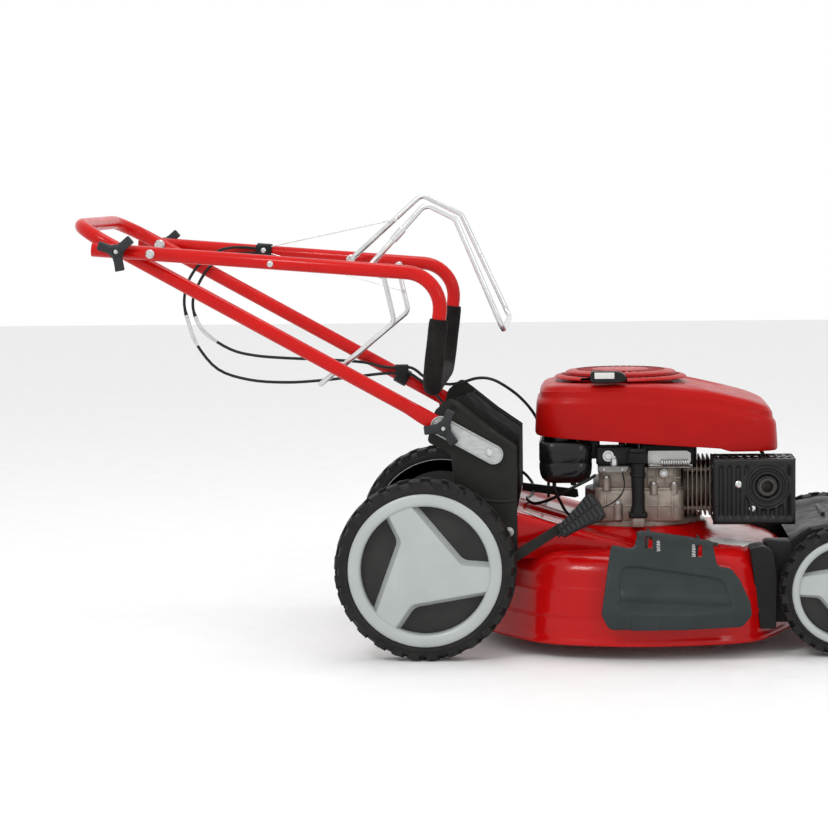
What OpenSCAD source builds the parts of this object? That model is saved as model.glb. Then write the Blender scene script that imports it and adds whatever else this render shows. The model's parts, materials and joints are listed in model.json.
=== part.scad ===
// Walk-behind petrol lawn mower, upper handle folded forward over the machine.
// Design frame: X forward from the rear axle, Y to the machine's left, Z up from the ground.

/* [Chassis] */
// Distance between the rear and the front axle
wheelbase = 640; // [620:5:660]
// Half the distance between the middles of the rear tyres
rear_track = 245; // [244:1:250]
// Half the distance between the middles of the front tyres
front_track = 210; // [208:1:214]
// Distance of the blade's axis in front of the rear axle
blade_x = 322; // [320:1:324]
// Height of the deck's lower edge above the ground, at the lowest cutting position
skirt_z = 22; // [20:1:24]
// Outer radius of the round blade chamber
chamber_r = 260; // [256:1:260]
// Height of the deck's flat top
deck_top = 186; // [184:1:188]

/* [Wheels] */
// Radius of the rear wheels over the tread
rear_r = 140; // [138:1:140]
// Radius of the front wheels over the tread
front_r = 100; // [98:1:100]
// Width of the rear tyres
rear_w = 46; // [44:1:46]
// Width of the front tyres
front_w = 40; // [38:1:40]
// Number of tread lugs round a rear tyre
rear_lugs = 28; // [24:2:32]
// Number of tread lugs round a front tyre
front_lugs = 24; // [20:2:28]

/* [Handle] */
// Outer diameter of the handle tubes
tube_d = 22; // [20:1:22]
// Wall thickness of the handle tubes
tube_wall = 1.5; // [1.2:0.1:2]
// Slope of the lower handle above the horizontal
handle_slope = 29; // [27:0.5:31]
// Distance from the bracket knob to the fold pivot
fold_reach = 569; // [560:1:575]
// Distance from the bracket knob to the loop's end
loop_reach = 650; // [640:1:655]
// Half the distance between the lower tubes
lower_y = 188; // [186:1:188]
// Half the distance between the upper tubes
upper_y = 211; // [211:1:213]
// Outer diameter of the foam grip
foam_d = 30; // [28:1:31]

/* [Engine] */
// Length of the engine's top shroud
shroud_len = 383; // [375:1:390]
// Width of the engine's top shroud
shroud_w = 262; // [250:1:270]

/* [Hidden] */
$fn = 48;

// Driving places
side_gap = 0.35;
body_half = 192;
plate_t = 3;
rear_axle = [0, rear_r];
front_axle = [wheelbase, front_r];
crank = [45.8, -20];
rear_pivot = rear_axle + crank;
front_pivot = front_axle + crank;
bracket_knob = [28, 353];
handle_pivot = bracket_knob + 80 * [cos(handle_slope), -sin(handle_slope)];
handle_dir = [-cos(handle_slope), sin(handle_slope)];
fold_pivot = bracket_knob + fold_reach * handle_dir;
loop_end = bracket_knob + loop_reach * handle_dir;
tube_start = bracket_knob + 34 * handle_dir;
upper_end = fold_pivot + [-41, 3.4];
upper_corner = [31, 588];
grip_bar = [10, 415];
foam_top = grip_bar + (upper_corner - grip_bar) * 0.607;
stop_pivot_right = [-88, -181, 598];
stop_pivot_left = [-146, 181, 601];
drive_pivot = [-66, 590];
stop_axis = unit(stop_pivot_left - stop_pivot_right);
belt_z = 127;
pulley_r = 32;
flap_hinge = [52, 371];
chute_hinge_at = [383, -250, 186];
chute_tilt = 8;
tube_r = tube_d / 2;
bore_gap = 0.08;
front_x = 741;
cover_y = -287;
rim_proud = 1;
wheel_y = rear_track + rear_w / 2 + rim_proud;
// The packed frame has its origin under the middle of the whole machine.
origin_shift = [-(loop_end.x - tube_r + front_x) / 2, -(cover_y + wheel_y) / 2, 0];
// Straight runs of a bent pipe reach this far into its bends, which are thicker by the seam
lap = 0.6;
seam = 0.04;

// ---------- helpers ----------
function unit(v) = v / norm(v);
function turn_angle(a, b, c) = acos(unit(b - a) * unit(c - b));
function setback(pts, bends, i) =
    i == 0 || i == len(pts) - 1 ? 0 : bends[i] * tan(turn_angle(pts[i - 1], pts[i], pts[i + 1]) / 2);
function polar(r, a) = r * [cos(a), sin(a)];
function arc(r, a0, a1, n) = [for (i = [0:n]) polar(r, a0 + (a1 - a0) * i / n)];
function at_y(p, y) = [p.x, y, p.y];

// Cylinder along Y at a place in the side view
module cross_bar(p, y0, y1, r) {
    translate([p.x, y0, p.y]) rotate([-90, 0, 0]) cylinder(h = y1 - y0, r = r);
}

// Side-view outline extruded along Y between two planes
module side_slab(y0, y1) {
    translate([0, y1, 0]) rotate([90, 0, 0]) linear_extrude(y1 - y0) children();
}

// Straight rod between two points
module rod(a, b, r) {
    v = b - a;
    translate(a) rotate([0, acos(v.z / norm(v)), atan2(v.y, v.x)]) cylinder(h = norm(v), r = r);
}

// Round bend of a pipe at point b, between the runs a-b and b-c
module elbow(a, b, c, bend, r, bore) {
    d1 = unit(b - a);
    d2 = unit(c - b);
    phi = turn_angle(a, b, c);
    centre = b + unit(d2 - d1) * bend / cos(phi / 2);
    ex = unit(b - d1 * bend * tan(phi / 2) - centre);
    ez = cross(ex, d1);
    multmatrix([[ex.x, d1.x, ez.x, centre.x], [ex.y, d1.y, ez.y, centre.y], [ex.z, d1.z, ez.z, centre.z],
        [0, 0, 0, 1]])
        rotate_extrude(angle = phi) translate([bend, 0]) difference() {
            circle(r + seam, $fn = 32);
            if (bore > 0) circle(bore - seam, $fn = 32);
        }
}

// Bent pipe or rod along points, with a bend radius at each inner point; bore 0 is a solid rod
module pipe(pts, bends, r, bore = 0) {
    for (i = [0:len(pts) - 2]) {
        d = unit(pts[i + 1] - pts[i]);
        a = pts[i] + d * (setback(pts, bends, i) - (i > 0 ? lap : 0));
        b = pts[i + 1] - d * (setback(pts, bends, i + 1) - (i < len(pts) - 2 ? lap : 0));
        difference() {
            rod(a, b, r, $fn = 32);
            if (bore > 0) rod(a - d, b + d, bore, $fn = 32);
        }
    }
    for (i = [1:1:len(pts) - 2]) elbow(pts[i - 1], pts[i], pts[i + 1], bends[i], r, bore);
}

// Tube swept along points, as one polyhedron with 8 sides
module cable(route, r) {
    n = len(route);
    sides = 8;
    dirs = [for (i = [0:n - 1]) unit(route[min(i + 1, n - 1)] - route[max(i - 1, 0)])];
    side = [for (d = dirs) unit(cross(d, abs(d.y) > 0.9 ? [0, 0, 1] : [0, 1, 0]))];
    pts = [for (i = [0:n - 1]) for (k = [0:sides - 1])
        route[i] + r * (cos(k * 360 / sides) * side[i] + sin(k * 360 / sides) * cross(dirs[i], side[i]))];
    walls = [for (i = [0:n - 2]) for (k = [0:sides - 1])
        [i * sides + k, i * sides + (k + 1) % sides, (i + 1) * sides + (k + 1) % sides, (i + 1) * sides + k]];
    start = [for (k = [sides - 1:-1:0]) k];
    end = [for (k = [0:sides - 1]) (n - 1) * sides + k];
    polyhedron(points = pts, faces = concat([start], walls, [end]), convexity = 4);
}

module mirror_y() {
    mirror([0, 1, 0]) children();
}
module both_sides() {
    children();
    mirror_y() children();
}

// Three-armed clamping knob, axis along local Z, standing on Z = 0
module star_knob() {
    difference() {
        union() {
            cylinder(h = 15, r = 11);
            for (k = [0:2]) rotate([0, 0, 120 * k + 20]) {
                translate([0, -6, 2]) cube([23, 12, 10]);
                translate([23.5, 0, 2]) cylinder(h = 10, r = 7.5);
            }
        }
        translate([0, 0, -1]) cylinder(h = 12, r = 4 + bore_gap);
    }
}

// ---------- deck ----------
// Solid form of the deck; the same form, inset, is cut out of it
module deck_form(inset) {
    translate([blade_x, 0, 0]) rotate_extrude($fn = 96)
        polygon([[0, skirt_z - inset], [chamber_r - inset, skirt_z - inset], [chamber_r - inset, 110],
            [chamber_r - 6 - inset, 140 - inset], [chamber_r - 26 - inset, 160 - inset],
            [130, 168 - inset], [118, deck_top - inset], [0, deck_top - inset]]);
    side_slab(-body_half + inset, body_half - inset)
        polygon([[61 - 2 * inset, 150 + inset], [61 - 2 * inset, 222 - inset], [139, 219 - inset],
            [235, 190 - inset], [330, 166 - inset], [330, 60], [142 + inset, 60],
            [142 + inset, 150 + inset]]);
    translate([150 + inset, -238 + inset, skirt_z - inset]) cube([380 - 2 * inset, 476 - 2 * inset, 128]);
}

module deck() {
    wall = 2.5;
    color("firebrick") difference() {
        union() {
            deck_form(0);
            // front lip that carries the front axle brackets
            translate([560, -150, 95]) cube([60, 300, 20]);
        }
        deck_form(wall);
        translate([blade_x, 0, deck_top - 30]) cylinder(h = 60, r = 40);
        // seat of the engine's flange
        translate([blade_x, 0, deck_top]) cylinder(h = 60, r = 108.4);
        // side discharge opening
        translate([300, -270, 60]) cube([160, 60, 78]);
        // slot for the drive belt
        translate([50, -42, belt_z - 2]) cube([30, 84, 18]);
    }
    // brackets of the two axle carriers
    color("firebrick") both_sides() {
        difference() {
            side_slab(-154, -150) polygon([[61, 151.5], [98, 151.5], [64, 106], [32, 106], [32, 132]]);
            cross_bar(rear_pivot, -160, -140, 9 + bore_gap);
        }
        difference() {
            side_slab(-144, -140) polygon([[600, 96], [600, 114], [640, 114], [702, 94], [702, 64], [670, 64],
                [640, 96]]);
            cross_bar(front_pivot, -150, -130, 8 + bore_gap);
        }
    }
}

module front_cover() {
    color([0.16, 0.17, 0.17]) difference() {
        side_slab(-172, 172) polygon([[590, 192], [560, 172], [594, 124], [622, 118], [622, 125], [650, 125],
            [650, 62], [722, 62], [front_x, 92], [738, 140], [700, 185], [640, 202]]);
        side_slab(-168, 168) polygon([[592, 188], [568, 171], [597, 128], [618, 126], [618, 129], [654, 129],
            [654, 40], [719, 40], [737, 93], [734, 138], [697, 181], [640, 197]]);
        cross_bar(front_pivot, -200, 200, 9.5);
        side_slab(-200, 200) polygon([[654, 40], [719, 40], [719, 72], [654, 72]]);
        both_sides() side_slab(-145, -139) polygon([[640, 60], [640, 122], [660, 122], [660, 60]]);
    }
}

// ---------- handle brackets, hood and flap ----------
module side_plate() {
    color([0.15, 0.15, 0.14]) difference() {
        union() {
            side_slab(-body_half - plate_t - side_gap, -body_half - side_gap)
                polygon([[62, 152], [140, 152], [140, 322], [98, 351], [52, 388], [38, 399], [14, 380],
                    [1, 330], [38, 313], [45, 240], [45, 200], [62, 190]]);
            cross_bar(bracket_knob, -body_half - plate_t - side_gap, -body_half + 2, 15);
        }
        cross_bar(handle_pivot, -210, -180, 5 + bore_gap);
        for (a = [-8:2:6]) translate([handle_pivot.x, 0, handle_pivot.y]) rotate([0, -a, 0])
            translate([-handle_pivot.x, 0, -handle_pivot.y]) cross_bar(bracket_knob, -210, -180, 4.6);
    }
}
module side_plates() both_sides() side_plate();

module rear_hood() {
    color([0.13, 0.13, 0.12]) difference() {
        side_slab(-body_half + 0.2, body_half - 0.2)
            polygon([[140, 223], [140, 319], [101, 346], [69, 371.5], [65, 366], [97, 341], [134, 315],
                [134, 223]]);
        translate([120, 150, 246]) rotate([0, 90, 0]) cylinder(h = 40, r = 10);
        for (s = [-1, 1]) translate([0, s * 192, 0]) cross_bar(handle_pivot, -24, 24, 12);
    }
}

module rear_flap() {
    color([0.14, 0.14, 0.13]) difference() {
        union() {
            side_slab(-156, 156) polygon([[49, 371], [55, 371], [56, 330], [56, 250], [40, 205], [22, 150],
                [18, 150], [35, 206], [50, 250], [50, 330]]);
            cross_bar(flap_hinge, -156, 156, 6);
            for (y = [-120, -40, 40, 120]) side_slab(y - 2, y + 2)
                polygon([[50, 364], [45, 330], [42, 250], [50, 250], [51, 330]]);
        }
        cross_bar(flap_hinge, -160, 160, 3 + bore_gap);
    }
}

// ---------- side discharge cover ----------
module on_chute_hinge() {
    translate(chute_hinge_at) rotate([0, chute_tilt, 0]) children();
}

module hinge_rods() {
    color("silver") {
        cross_bar(flap_hinge, -body_half, body_half, 3);
        on_chute_hinge() translate([-62, 0, 0]) rotate([0, 90, 0]) cylinder(h = 124, r = 3);
    }
    color("firebrick") for (x = [-46, 30]) difference() {
        on_chute_hinge() translate([x, -6, -34]) cube([4, 40, 40]);
        on_chute_hinge() translate([x - 1, 0, 0]) rotate([0, 90, 0]) cylinder(h = 6, r = 3);
        translate([blade_x, 0, 0]) rotate_extrude($fn = 96)
            polygon([[0, 0], [chamber_r + 0.1, 0], [chamber_r + 0.1, 110], [chamber_r - 6, 140],
                [chamber_r - 26, 160.1], [130, 168.1], [118, deck_top], [0, deck_top]]);
        translate([150, -238.1, 0]) cube([380, 476.2, 150.1]);
    }
}

module chute_cover() {
    color([0.2, 0.23, 0.23]) difference() {
        union() {
            intersection() {
                side_slab(-330, -200) polygon([[267, 72], [279, 51], [478, 53], [495, 72], [494, 96],
                    [467, 146], [444, 147], [439, 184], [323, 202], [318, 176], [310, 172], [281, 180]]);
                translate([250, 0, 0]) rotate([90, 0, 90]) linear_extrude(260)
                    polygon([[-253, 203], [-247, 203], [-262, 140], [-280, 75], [-278, 48], [-284, 48],
                        [cover_y, 76], [-268, 141]]);
            }
            on_chute_hinge() translate([-50, 0, 0]) rotate([0, 90, 0]) cylinder(h = 100, r = 6.5);
        }
        for (x = [-49, 27]) on_chute_hinge() translate([x, -14, -42]) cube([10, 60, 60]);
        on_chute_hinge() translate([-66, 0, 0]) rotate([0, 90, 0]) cylinder(h = 132, r = 3 + bore_gap);
    }
}

// ---------- cutting height ----------
module height_quadrant() {
    color("silver") {
        side_slab(-198.6, -body_half - plate_t - side_gap) translate(rear_pivot) difference() {
            polygon(concat(arc(90, 16, 70, 12), arc(70, 70, 16, 12)));
            for (a = [22:8:62]) rotate(a) translate([90, 0]) circle(3);
        }
    }
}

module height_lever() {
    pad = [240, 221];
    color([0.13, 0.13, 0.13]) difference() {
        union() {
            side_slab(-212, -206.5)
                polygon([rear_pivot + [-14, -6], rear_pivot + [14, -8], [140, 146], [214, 195],
                    [206, 207], [136, 163], rear_pivot + [4, 15], rear_pivot + [-10, 12]]);
            translate([pad.x, -236, pad.y]) rotate([0, -36, 0]) {
                // ribbed foot pad, leaning with the arm and turned outwards
                rotate([50, 0, 0]) {
                    translate([0, 0, -6]) linear_extrude(6)
                        polygon([[-40, -10], [40, -20.5], [40, 20.5], [-40, 10]]);
                    for (x = [-32:8:32]) translate([x - 1.5, -14 - x * 0.125, -1])
                        cube([3, 28 + x * 0.25, 4]);
                }
                // web between the pad and the arm
                translate([-50, -3, -7]) cube([44, 30, 6]);
            }
        }
        cross_bar(rear_pivot, -214, -204, 9.05);
    }
}

// Crank plates, stub axles and the tube that ties them; both axles are built this way
module axle_carrier(pivot, axle, plate_y, plate_thick, stub_r, stub_end, tie_r) {
    for (s = [-1, 1]) {
        side_slab(s > 0 ? plate_y : -plate_y - plate_thick, s > 0 ? plate_y + plate_thick : -plate_y)
            difference() {
                union() {
                    translate(pivot) circle(16);
                    translate(axle) circle(14);
                    polygon([pivot + [0, 16], axle + [0, 14], axle + [0, -14], pivot + [0, -16]]);
                }
            }
        cross_bar(axle, s > 0 ? plate_y : -stub_end, s > 0 ? stub_end : -plate_y, stub_r);
    }
    cross_bar(pivot, -plate_y, plate_y, tie_r);
}

module rear_axle_carrier() {
    color("silver") {
        axle_carrier(rear_pivot, rear_axle, 199.5, 5, 8, 262, 9);
        cross_bar(rear_pivot, -212, -199.5, 9);
    }
}
module front_axle_carrier() {
    color("silver") axle_carrier(front_pivot, front_axle, 176, 5, 7, 223, 8);
}

// ---------- wheels, in local frames with the outer face at +Z ----------
function lug(a, h, r, root) =
    [polar(root, a - h - 1), polar(r, a - h), polar(r, a + h), polar(root, a + h + 1)];
function lug_ring(n, r, root, share) =
    [for (i = [0:n - 1]) let(h = 180 / n * share) each lug(270 + i * 360 / n, h, r / cos(h), root)];

module tyre(r, w, rim_r, flange_r, lugs) {
    color([0.13, 0.12, 0.11]) {
        rotate_extrude($fn = 96) polygon([[rim_r, -w / 2 + 3.7], [flange_r, -w / 2 + 3.7], [flange_r, -w / 2],
            [r - 14, -w / 2], [r - 5, -w / 2 + 8], [r - 4, 0], [r - 5, w / 2 - 8], [r - 14, w / 2],
            [flange_r, w / 2], [flange_r, w / 2 - 3.7], [rim_r, w / 2 - 3.7]]);
        translate([0, 0, -w / 2 + 5]) linear_extrude(w - 10) difference() {
            polygon(lug_ring(lugs, r, r - 6, 0.62));
            circle(r - 12, $fn = 96);
        }
    }
}

// Window k of the three-spoke rim runs from one spoke's flank to the next
function window(k, rim, corner) = concat(arc(rim, 120 * k + 2.6, 120 * k + 101.3, 14),
    [corner * [cos(120 * k + 8), sin(120 * k + 8)]]);

module rear_rim() {
    barrel_r = 104;
    color([0.69, 0.7, 0.69]) difference() {
        union() {
            rotate_extrude($fn = 96) polygon([[99, 21], [101, 24], [116, 24], [118, 20], [barrel_r, 19.6],
                [barrel_r, -19.6], [118, -20], [118, -23], [99, -23]]);
            translate([0, 0, -4]) linear_extrude(23.4) difference() {
                circle(100.5, $fn = 96);
                for (k = [0:2]) polygon(window(k, 97.6, 56));
            }
            translate([0, 0, -22]) cylinder(h = 43.2, r = 22);
        }
        translate([0, 0, -30]) cylinder(h = 48, r = 8 + bore_gap);
    }
}

module rear_wheel_disc() {
    color([0.12, 0.11, 0.1]) translate([0, 0, -9]) difference() {
        cylinder(h = 4.6, r = 98.8);
        translate([0, 0, -1]) cylinder(h = 7, r = 22.3);
    }
}

module front_rim() {
    color([0.69, 0.7, 0.69]) difference() {
        union() {
            rotate_extrude($fn = 96) polygon([[70, 18], [72, 21], [80, 21], [82, 17], [72, 16.6], [72, -16.6],
                [82, -17], [82, -20], [70, -20]]);
            translate([0, 0, 2]) linear_extrude(14) difference() {
                circle(71, $fn = 96);
                for (k = [0:2]) polygon(window(k + 0.5, 68.8, 38));
            }
            translate([0, 0, -14]) cylinder(h = 5, r = 71);
            translate([0, 0, -19]) cylinder(h = 36.2, r = 18);
        }
        translate([0, 0, -30]) cylinder(h = 44, r = 7 + bore_gap);
    }
}

module at_rear_wheel() translate([rear_axle.x, -rear_track, rear_axle.y]) rotate([90, 0, 0]) children();
module at_front_wheel() translate([front_axle.x, -front_track, front_axle.y]) rotate([90, 0, 0]) children();

module rear_tyre_right() at_rear_wheel() tyre(rear_r, rear_w, 104.2, 118.2, rear_lugs);
module rear_tyre_left() mirror_y() rear_tyre_right();
module rear_rim_right() at_rear_wheel() rear_rim();
module rear_rim_left() mirror_y() rear_rim_right();
module rear_wheel_disc_right() at_rear_wheel() rear_wheel_disc();
module rear_wheel_disc_left() mirror_y() rear_wheel_disc_right();
module front_tyre_right() at_front_wheel() tyre(front_r, front_w, 72.2, 82.2, front_lugs);
module front_tyre_left() mirror_y() front_tyre_right();
module front_rim_right() at_front_wheel() front_rim();
module front_rim_left() mirror_y() front_rim_right();

// ---------- lower handle ----------
module lower_handle() {
    color([0.75, 0.1, 0.08]) difference() {
        union() {
            pipe([at_y(tube_start, -lower_y), at_y(loop_end, -lower_y), at_y(loop_end, lower_y),
                at_y(tube_start, lower_y)], [0, 60, 60, 0], tube_r, tube_r - tube_wall);
            both_sides() translate([bracket_knob.x, -203, bracket_knob.y]) rotate([0, handle_slope, 0]) {
                translate([-58, 0, -10]) cube([58, 7, 20]);
                translate([0, 7, 0]) rotate([90, 0, 0]) cylinder(h = 7, r = 10);
            }
        }
        both_sides() cross_bar(bracket_knob, -210, -190, 4 + bore_gap);
        both_sides() cross_bar(fold_pivot, -210, -170, 4.1);
    }
}

// Zinc-plated channels that carry the lower tubes' ends on the pivot bolts
module channel() {
    translate([bracket_knob.x, 0, bracket_knob.y]) rotate([0, handle_slope, 0]) {
        difference() {
            union() {
                translate([-16, -206, -15]) cube([103, 2.6, 30]);
                for (x = [-16, 87]) translate([x, -203.4, 0]) rotate([90, 0, 0]) cylinder(h = 2.6, r = 15);
                for (z = [-15, 12.5]) translate([-10, -206, z]) cube([93, 10, 2.5]);
            }
            translate([0, -190, 0]) rotate([90, 0, 0]) cylinder(h = 20, r = 4 + bore_gap);
            translate([80, -190, 0]) rotate([90, 0, 0]) cylinder(h = 20, r = 5 + bore_gap);
        }
        translate([80, -196.1, 0]) rotate([90, 0, 0]) difference() {
            cylinder(h = 7.3, r = 9);
            translate([0, 0, -1]) cylinder(h = 10, r = 5 + bore_gap);
        }
    }
}
module handle_channels() {
    color([0.66, 0.67, 0.66]) both_sides() channel();
}

module handle_pivot_bolts() {
    color("silver") both_sides() {
        cross_bar(handle_pivot, -206.4, -186, 5);
        cross_bar(handle_pivot, -211, -206.4, 8.5);
        cross_bar(handle_pivot, -191, -186, 9);
    }
}

module bracket_knob() {
    color([0.2, 0.21, 0.22]) {
        translate([bracket_knob.x, -206.6, bracket_knob.y]) rotate([90, 0, 0]) star_knob();
    }
    color("silver") cross_bar(bracket_knob, -217, -186, 4);
    color("silver") cross_bar(bracket_knob, -186, -182, 7);
}
module bracket_knob_right() bracket_knob();
module bracket_knob_left() mirror_y() bracket_knob();

// ---------- upper handle ----------
module upper_handle() {
    color([0.75, 0.1, 0.08]) difference() {
        pipe([at_y(upper_end, -upper_y), at_y(upper_corner, -upper_y), at_y(grip_bar, -upper_y),
            at_y(grip_bar, upper_y), at_y(upper_corner, upper_y), at_y(upper_end, upper_y)],
            [0, 55, 42, 42, 55, 0], tube_r, tube_r - tube_wall);
        both_sides() cross_bar(fold_pivot, -230, -195, 4 + bore_gap);
    }
}

module foam_grip() {
    color([0.17, 0.16, 0.15]) pipe([at_y(foam_top, -upper_y), at_y(grip_bar, -upper_y),
        at_y(grip_bar, upper_y), at_y(foam_top, upper_y)], [0, 42, 42, 0], foam_d / 2, tube_r + 0.4);
}

module fold_bolts() {
    color("silver") both_sides() {
        cross_bar(fold_pivot, -232, -176.5, 4);
        cross_bar(fold_pivot, -176.5, -172.5, 9);
    }
}

module fold_knob() {
    color([0.2, 0.21, 0.22]) {
        translate([fold_pivot.x, -222.6, fold_pivot.y]) rotate([90, 0, 0]) star_knob();
    }
}
module fold_knob_right() fold_knob();
module fold_knob_left() mirror_y() fold_knob();

// Place along the straight run of the upper tubes, by its distance from the fold pivot
function along_upper(d) = fold_pivot + d * unit(upper_corner - upper_end);

module cable_clamp() {
    p = along_upper(174);
    color([0.1, 0.1, 0.1]) difference() {
        union() {
            rod(at_y(along_upper(161), upper_y), at_y(along_upper(187), upper_y), tube_r + 3);
            translate([p.x - 13, upper_y - 16, p.y - 6]) cube([26, 8, 18]);
        }
        rod(at_y(along_upper(150), upper_y), at_y(along_upper(200), upper_y), tube_r + 0.05);
    }
}

function along_lower(d) = bracket_knob + d * handle_dir;
module cable_clip() {
    color([0.1, 0.1, 0.1]) difference() {
        union() {
            rod(at_y(along_lower(92), lower_y), at_y(along_lower(114), lower_y), tube_r + 3);
            translate([along_lower(103).x - 10, 165, along_lower(103).y - 4]) cube([20, 12, 24]);
        }
        rod(at_y(along_lower(80), lower_y), at_y(along_lower(130), lower_y), tube_r + 0.05);
        translate([along_lower(103).x - 20, 171, 409]) rotate([0, 90, 0]) cylinder(h = 40, r = 3.4);
        translate([along_lower(103).x - 20, 171, 419]) rotate([0, 90, 0]) cylinder(h = 40, r = 3.4);
    }
}

// Bail bushes, rope guide and screws on the upper tubes
module handle_fittings() {
    screw_place = along_upper(236) + [0, -2];
    color([0.7, 0.7, 0.7]) {
        difference() {
            union() {
                rod(stop_pivot_right - 14 * stop_axis, stop_pivot_right - 24 * stop_axis, 7.5);
                rod(stop_pivot_left + 14 * stop_axis, stop_pivot_left + 24 * stop_axis, 7.5);
                both_sides() cross_bar(drive_pivot, -206, -175, 6.5);
            }
            rod(stop_pivot_right - 18.6 * stop_axis, stop_pivot_left + 18.6 * stop_axis, 4.5 + bore_gap);
            both_sides() cross_bar(drive_pivot, -196, -160, 4 + bore_gap);
            both_sides() rod(at_y(upper_end, -upper_y), at_y(upper_corner, -upper_y), tube_r + 0.02);
        }
        // rope guide: stud and ring on the right tube
        difference() {
            union() {
                rod(at_y(along_upper(51), -upper_y - 16), at_y(along_upper(51), -upper_y - 10), 7);
                rod(at_y(screw_place, -upper_y - 15), at_y(screw_place, -upper_y - 9), 5);
            }
            rod(at_y(upper_end, -upper_y), at_y(upper_corner, -upper_y), tube_r + 0.02);
        }
    }
}

module stop_bail() {
    r = 4.5;
    bar = [120, 502];
    color([0.78, 0.78, 0.77]) {
        pipe([stop_pivot_right - 18.3 * stop_axis, stop_pivot_right, [2, -181, 696], [48, -181, 673],
            at_y(bar, -181), at_y(bar, 181), [40, 181, 675], [-26, 181, 708], stop_pivot_left,
            stop_pivot_left + 18.3 * stop_axis],
            [0, 12, 14, 14, 20, 20, 14, 14, 12, 0], r);
    }
}

module drive_bail() {
    r = 4;
    color([0.78, 0.78, 0.77]) {
        pipe([at_y(drive_pivot, -193), at_y(drive_pivot, -160), [-49, -160, 514], [-168, -160, 416],
            [-168, 160, 416], [-49, 160, 514], at_y(drive_pivot, 160), at_y(drive_pivot, 193)],
            [0, 12, 14, 20, 20, 14, 12, 0], r);
    }
}

// ---------- cables ----------
stop_upper_route = [[-309.6, 197.2, 621], [-336, 194, 623], [-364, 184, 620], [-390, 171, 606],
    [-410, 169, 586], [-424, 169, 560], [-429, 170, 528], [-421, 171, 492], [-408, 172, 458],
    [-374, 172, 418], [-322, 172, 400], [-260, 172, 395], [-198, 172, 398], [-131, 172, 405],
    [-92, 171, 409], [-62.3, 171, 409]];
drive_upper_route = [[-309.6, 197.2, 613], [-338, 192.4, 612], [-362, 182, 606], [-384, 171, 592],
    [-402, 169, 566], [-414, 170, 536], [-411, 171, 508], [-394, 172, 479], [-353, 172, 452],
    [-312, 172, 441], [-256, 172, 436], [-190, 172, 433], [-126, 172, 428], [-92, 171, 420],
    [-62.3, 171, 419]];
drive_lower_route = [[-61.7, 171, 419], [-48.5, 171, 418.9], [-38, 171, 414], [-22, 169, 402],
    [12, 165, 391], [38, 155, 394], [64, 143, 402], [86, 135, 402], [108, 128, 393], [138, 124, 371],
    [163, 120, 340], [178, 112, 300], [184, 104, 262], [184, 100, 230], [184, 100, 207]];
stop_lower_route = [[-61.7, 171, 409], [-49, 171, 408.6], [-33, 172, 398], [-10, 173, 378], [18, 173, 345],
    [55, 172, 300], [100, 166, 262], [137, 150, 246], [156, 110, 232], [160, 60, 225], [158, 0, 223],
    [152, -50, 224], [164, -92, 221], [190, -112, 230], [224, -130, 250], [248, -129, 262],
    [261, -127, 270]];
module stop_cable_upper() color([0.08, 0.08, 0.08]) cable(stop_upper_route, 2.5);
module drive_cable_upper() color([0.08, 0.08, 0.08]) cable(drive_upper_route, 2.5);
module drive_cable_lower() color([0.08, 0.08, 0.08]) cable(drive_lower_route, 2.5);
module stop_cable_lower() color([0.08, 0.08, 0.08]) cable(stop_lower_route, 2.5);

// ---------- engine ----------
module crankcase() {
    color([0.62, 0.58, 0.52]) difference() {
        union() {
            translate([blade_x, 0, deck_top]) cylinder(h = 8, r = 108);
            translate([blade_x, 0, deck_top + 8]) cylinder(h = 52, r = 78);
            translate([blade_x - 62, -105, deck_top + 8]) cube([140, 205, 50]);
            translate([blade_x - 56, -100, deck_top + 58]) cube([130, 190, 36]);
        }
        translate([blade_x, 0, deck_top - 1]) cylinder(h = 110, r = 12.5 + bore_gap);
    }
}

module cylinder_block() {
    color([0.62, 0.6, 0.57]) difference() {
        union() {
            translate([blade_x + 78, 0, 238]) rotate([0, 90, 0]) cylinder(h = 62, r = 40);
            for (x = [84:7:133]) translate([blade_x + x, -62, 196]) cube([2.5, 124, 88]);
        }
        translate([blade_x + 100, 0, 238]) rotate([0, 90, 0]) cylinder(h = 60, r = 32);
    }
}

module cylinder_head() {
    color([0.6, 0.58, 0.55]) difference() {
        union() {
            translate([blade_x + 140.2, -60, 196]) cube([26, 120, 86]);
            translate([blade_x + 166, -45, 204]) cube([26, 90, 70]);
            for (z = [200:12:272]) translate([blade_x + 140.2, -66, z]) cube([26, 132, 3]);
        }
        translate([blade_x + 130, 30, 238]) rotate([0, 90, 0]) cylinder(h = 80, r = 7);
    }
}

module spark_plug() {
    color([0.08, 0.08, 0.08]) {
        translate([blade_x + 192, 30, 238]) rotate([0, 90, 0]) cylinder(h = 30, r = 9);
    }
    color("white") translate([blade_x + 150, 30, 238]) rotate([0, 90, 0]) cylinder(h = 42, r = 6.9);
}

// Profile of the shroud in the side view
module shroud_side(inset) {
    nose = 165 + shroud_len - inset;
    foot = -2 * inset;
    polygon([[165 + inset, 346 + foot], [176 + inset, 404 - inset], [196, 412 - inset], [410, 414 - inset],
        [448, 411 - inset], [488, 401 - inset], [nose - 15, 382 - inset], [nose - 5, 372 - inset],
        [nose, 305 + foot], [470, 305 + foot], [455, 310 + foot], [190, 328 + foot]]);
}
module shroud_plan(inset) {
    h = shroud_w / 2 - inset;
    nose = 165 + shroud_len - inset;
    tail = 165 + inset;
    front = 44 - inset;
    rear = 60 - inset;
    polygon(concat([for (p = arc(front, 0, 90, 8)) [nose - front, h - front] + p],
        [for (p = arc(rear, 90, 180, 8)) [tail + rear, h - rear] + p],
        [for (p = arc(rear, 180, 270, 8)) [tail + rear, rear - h] + p],
        [for (p = arc(front, 270, 360, 8)) [nose - front, front - h] + p]));
}
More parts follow.
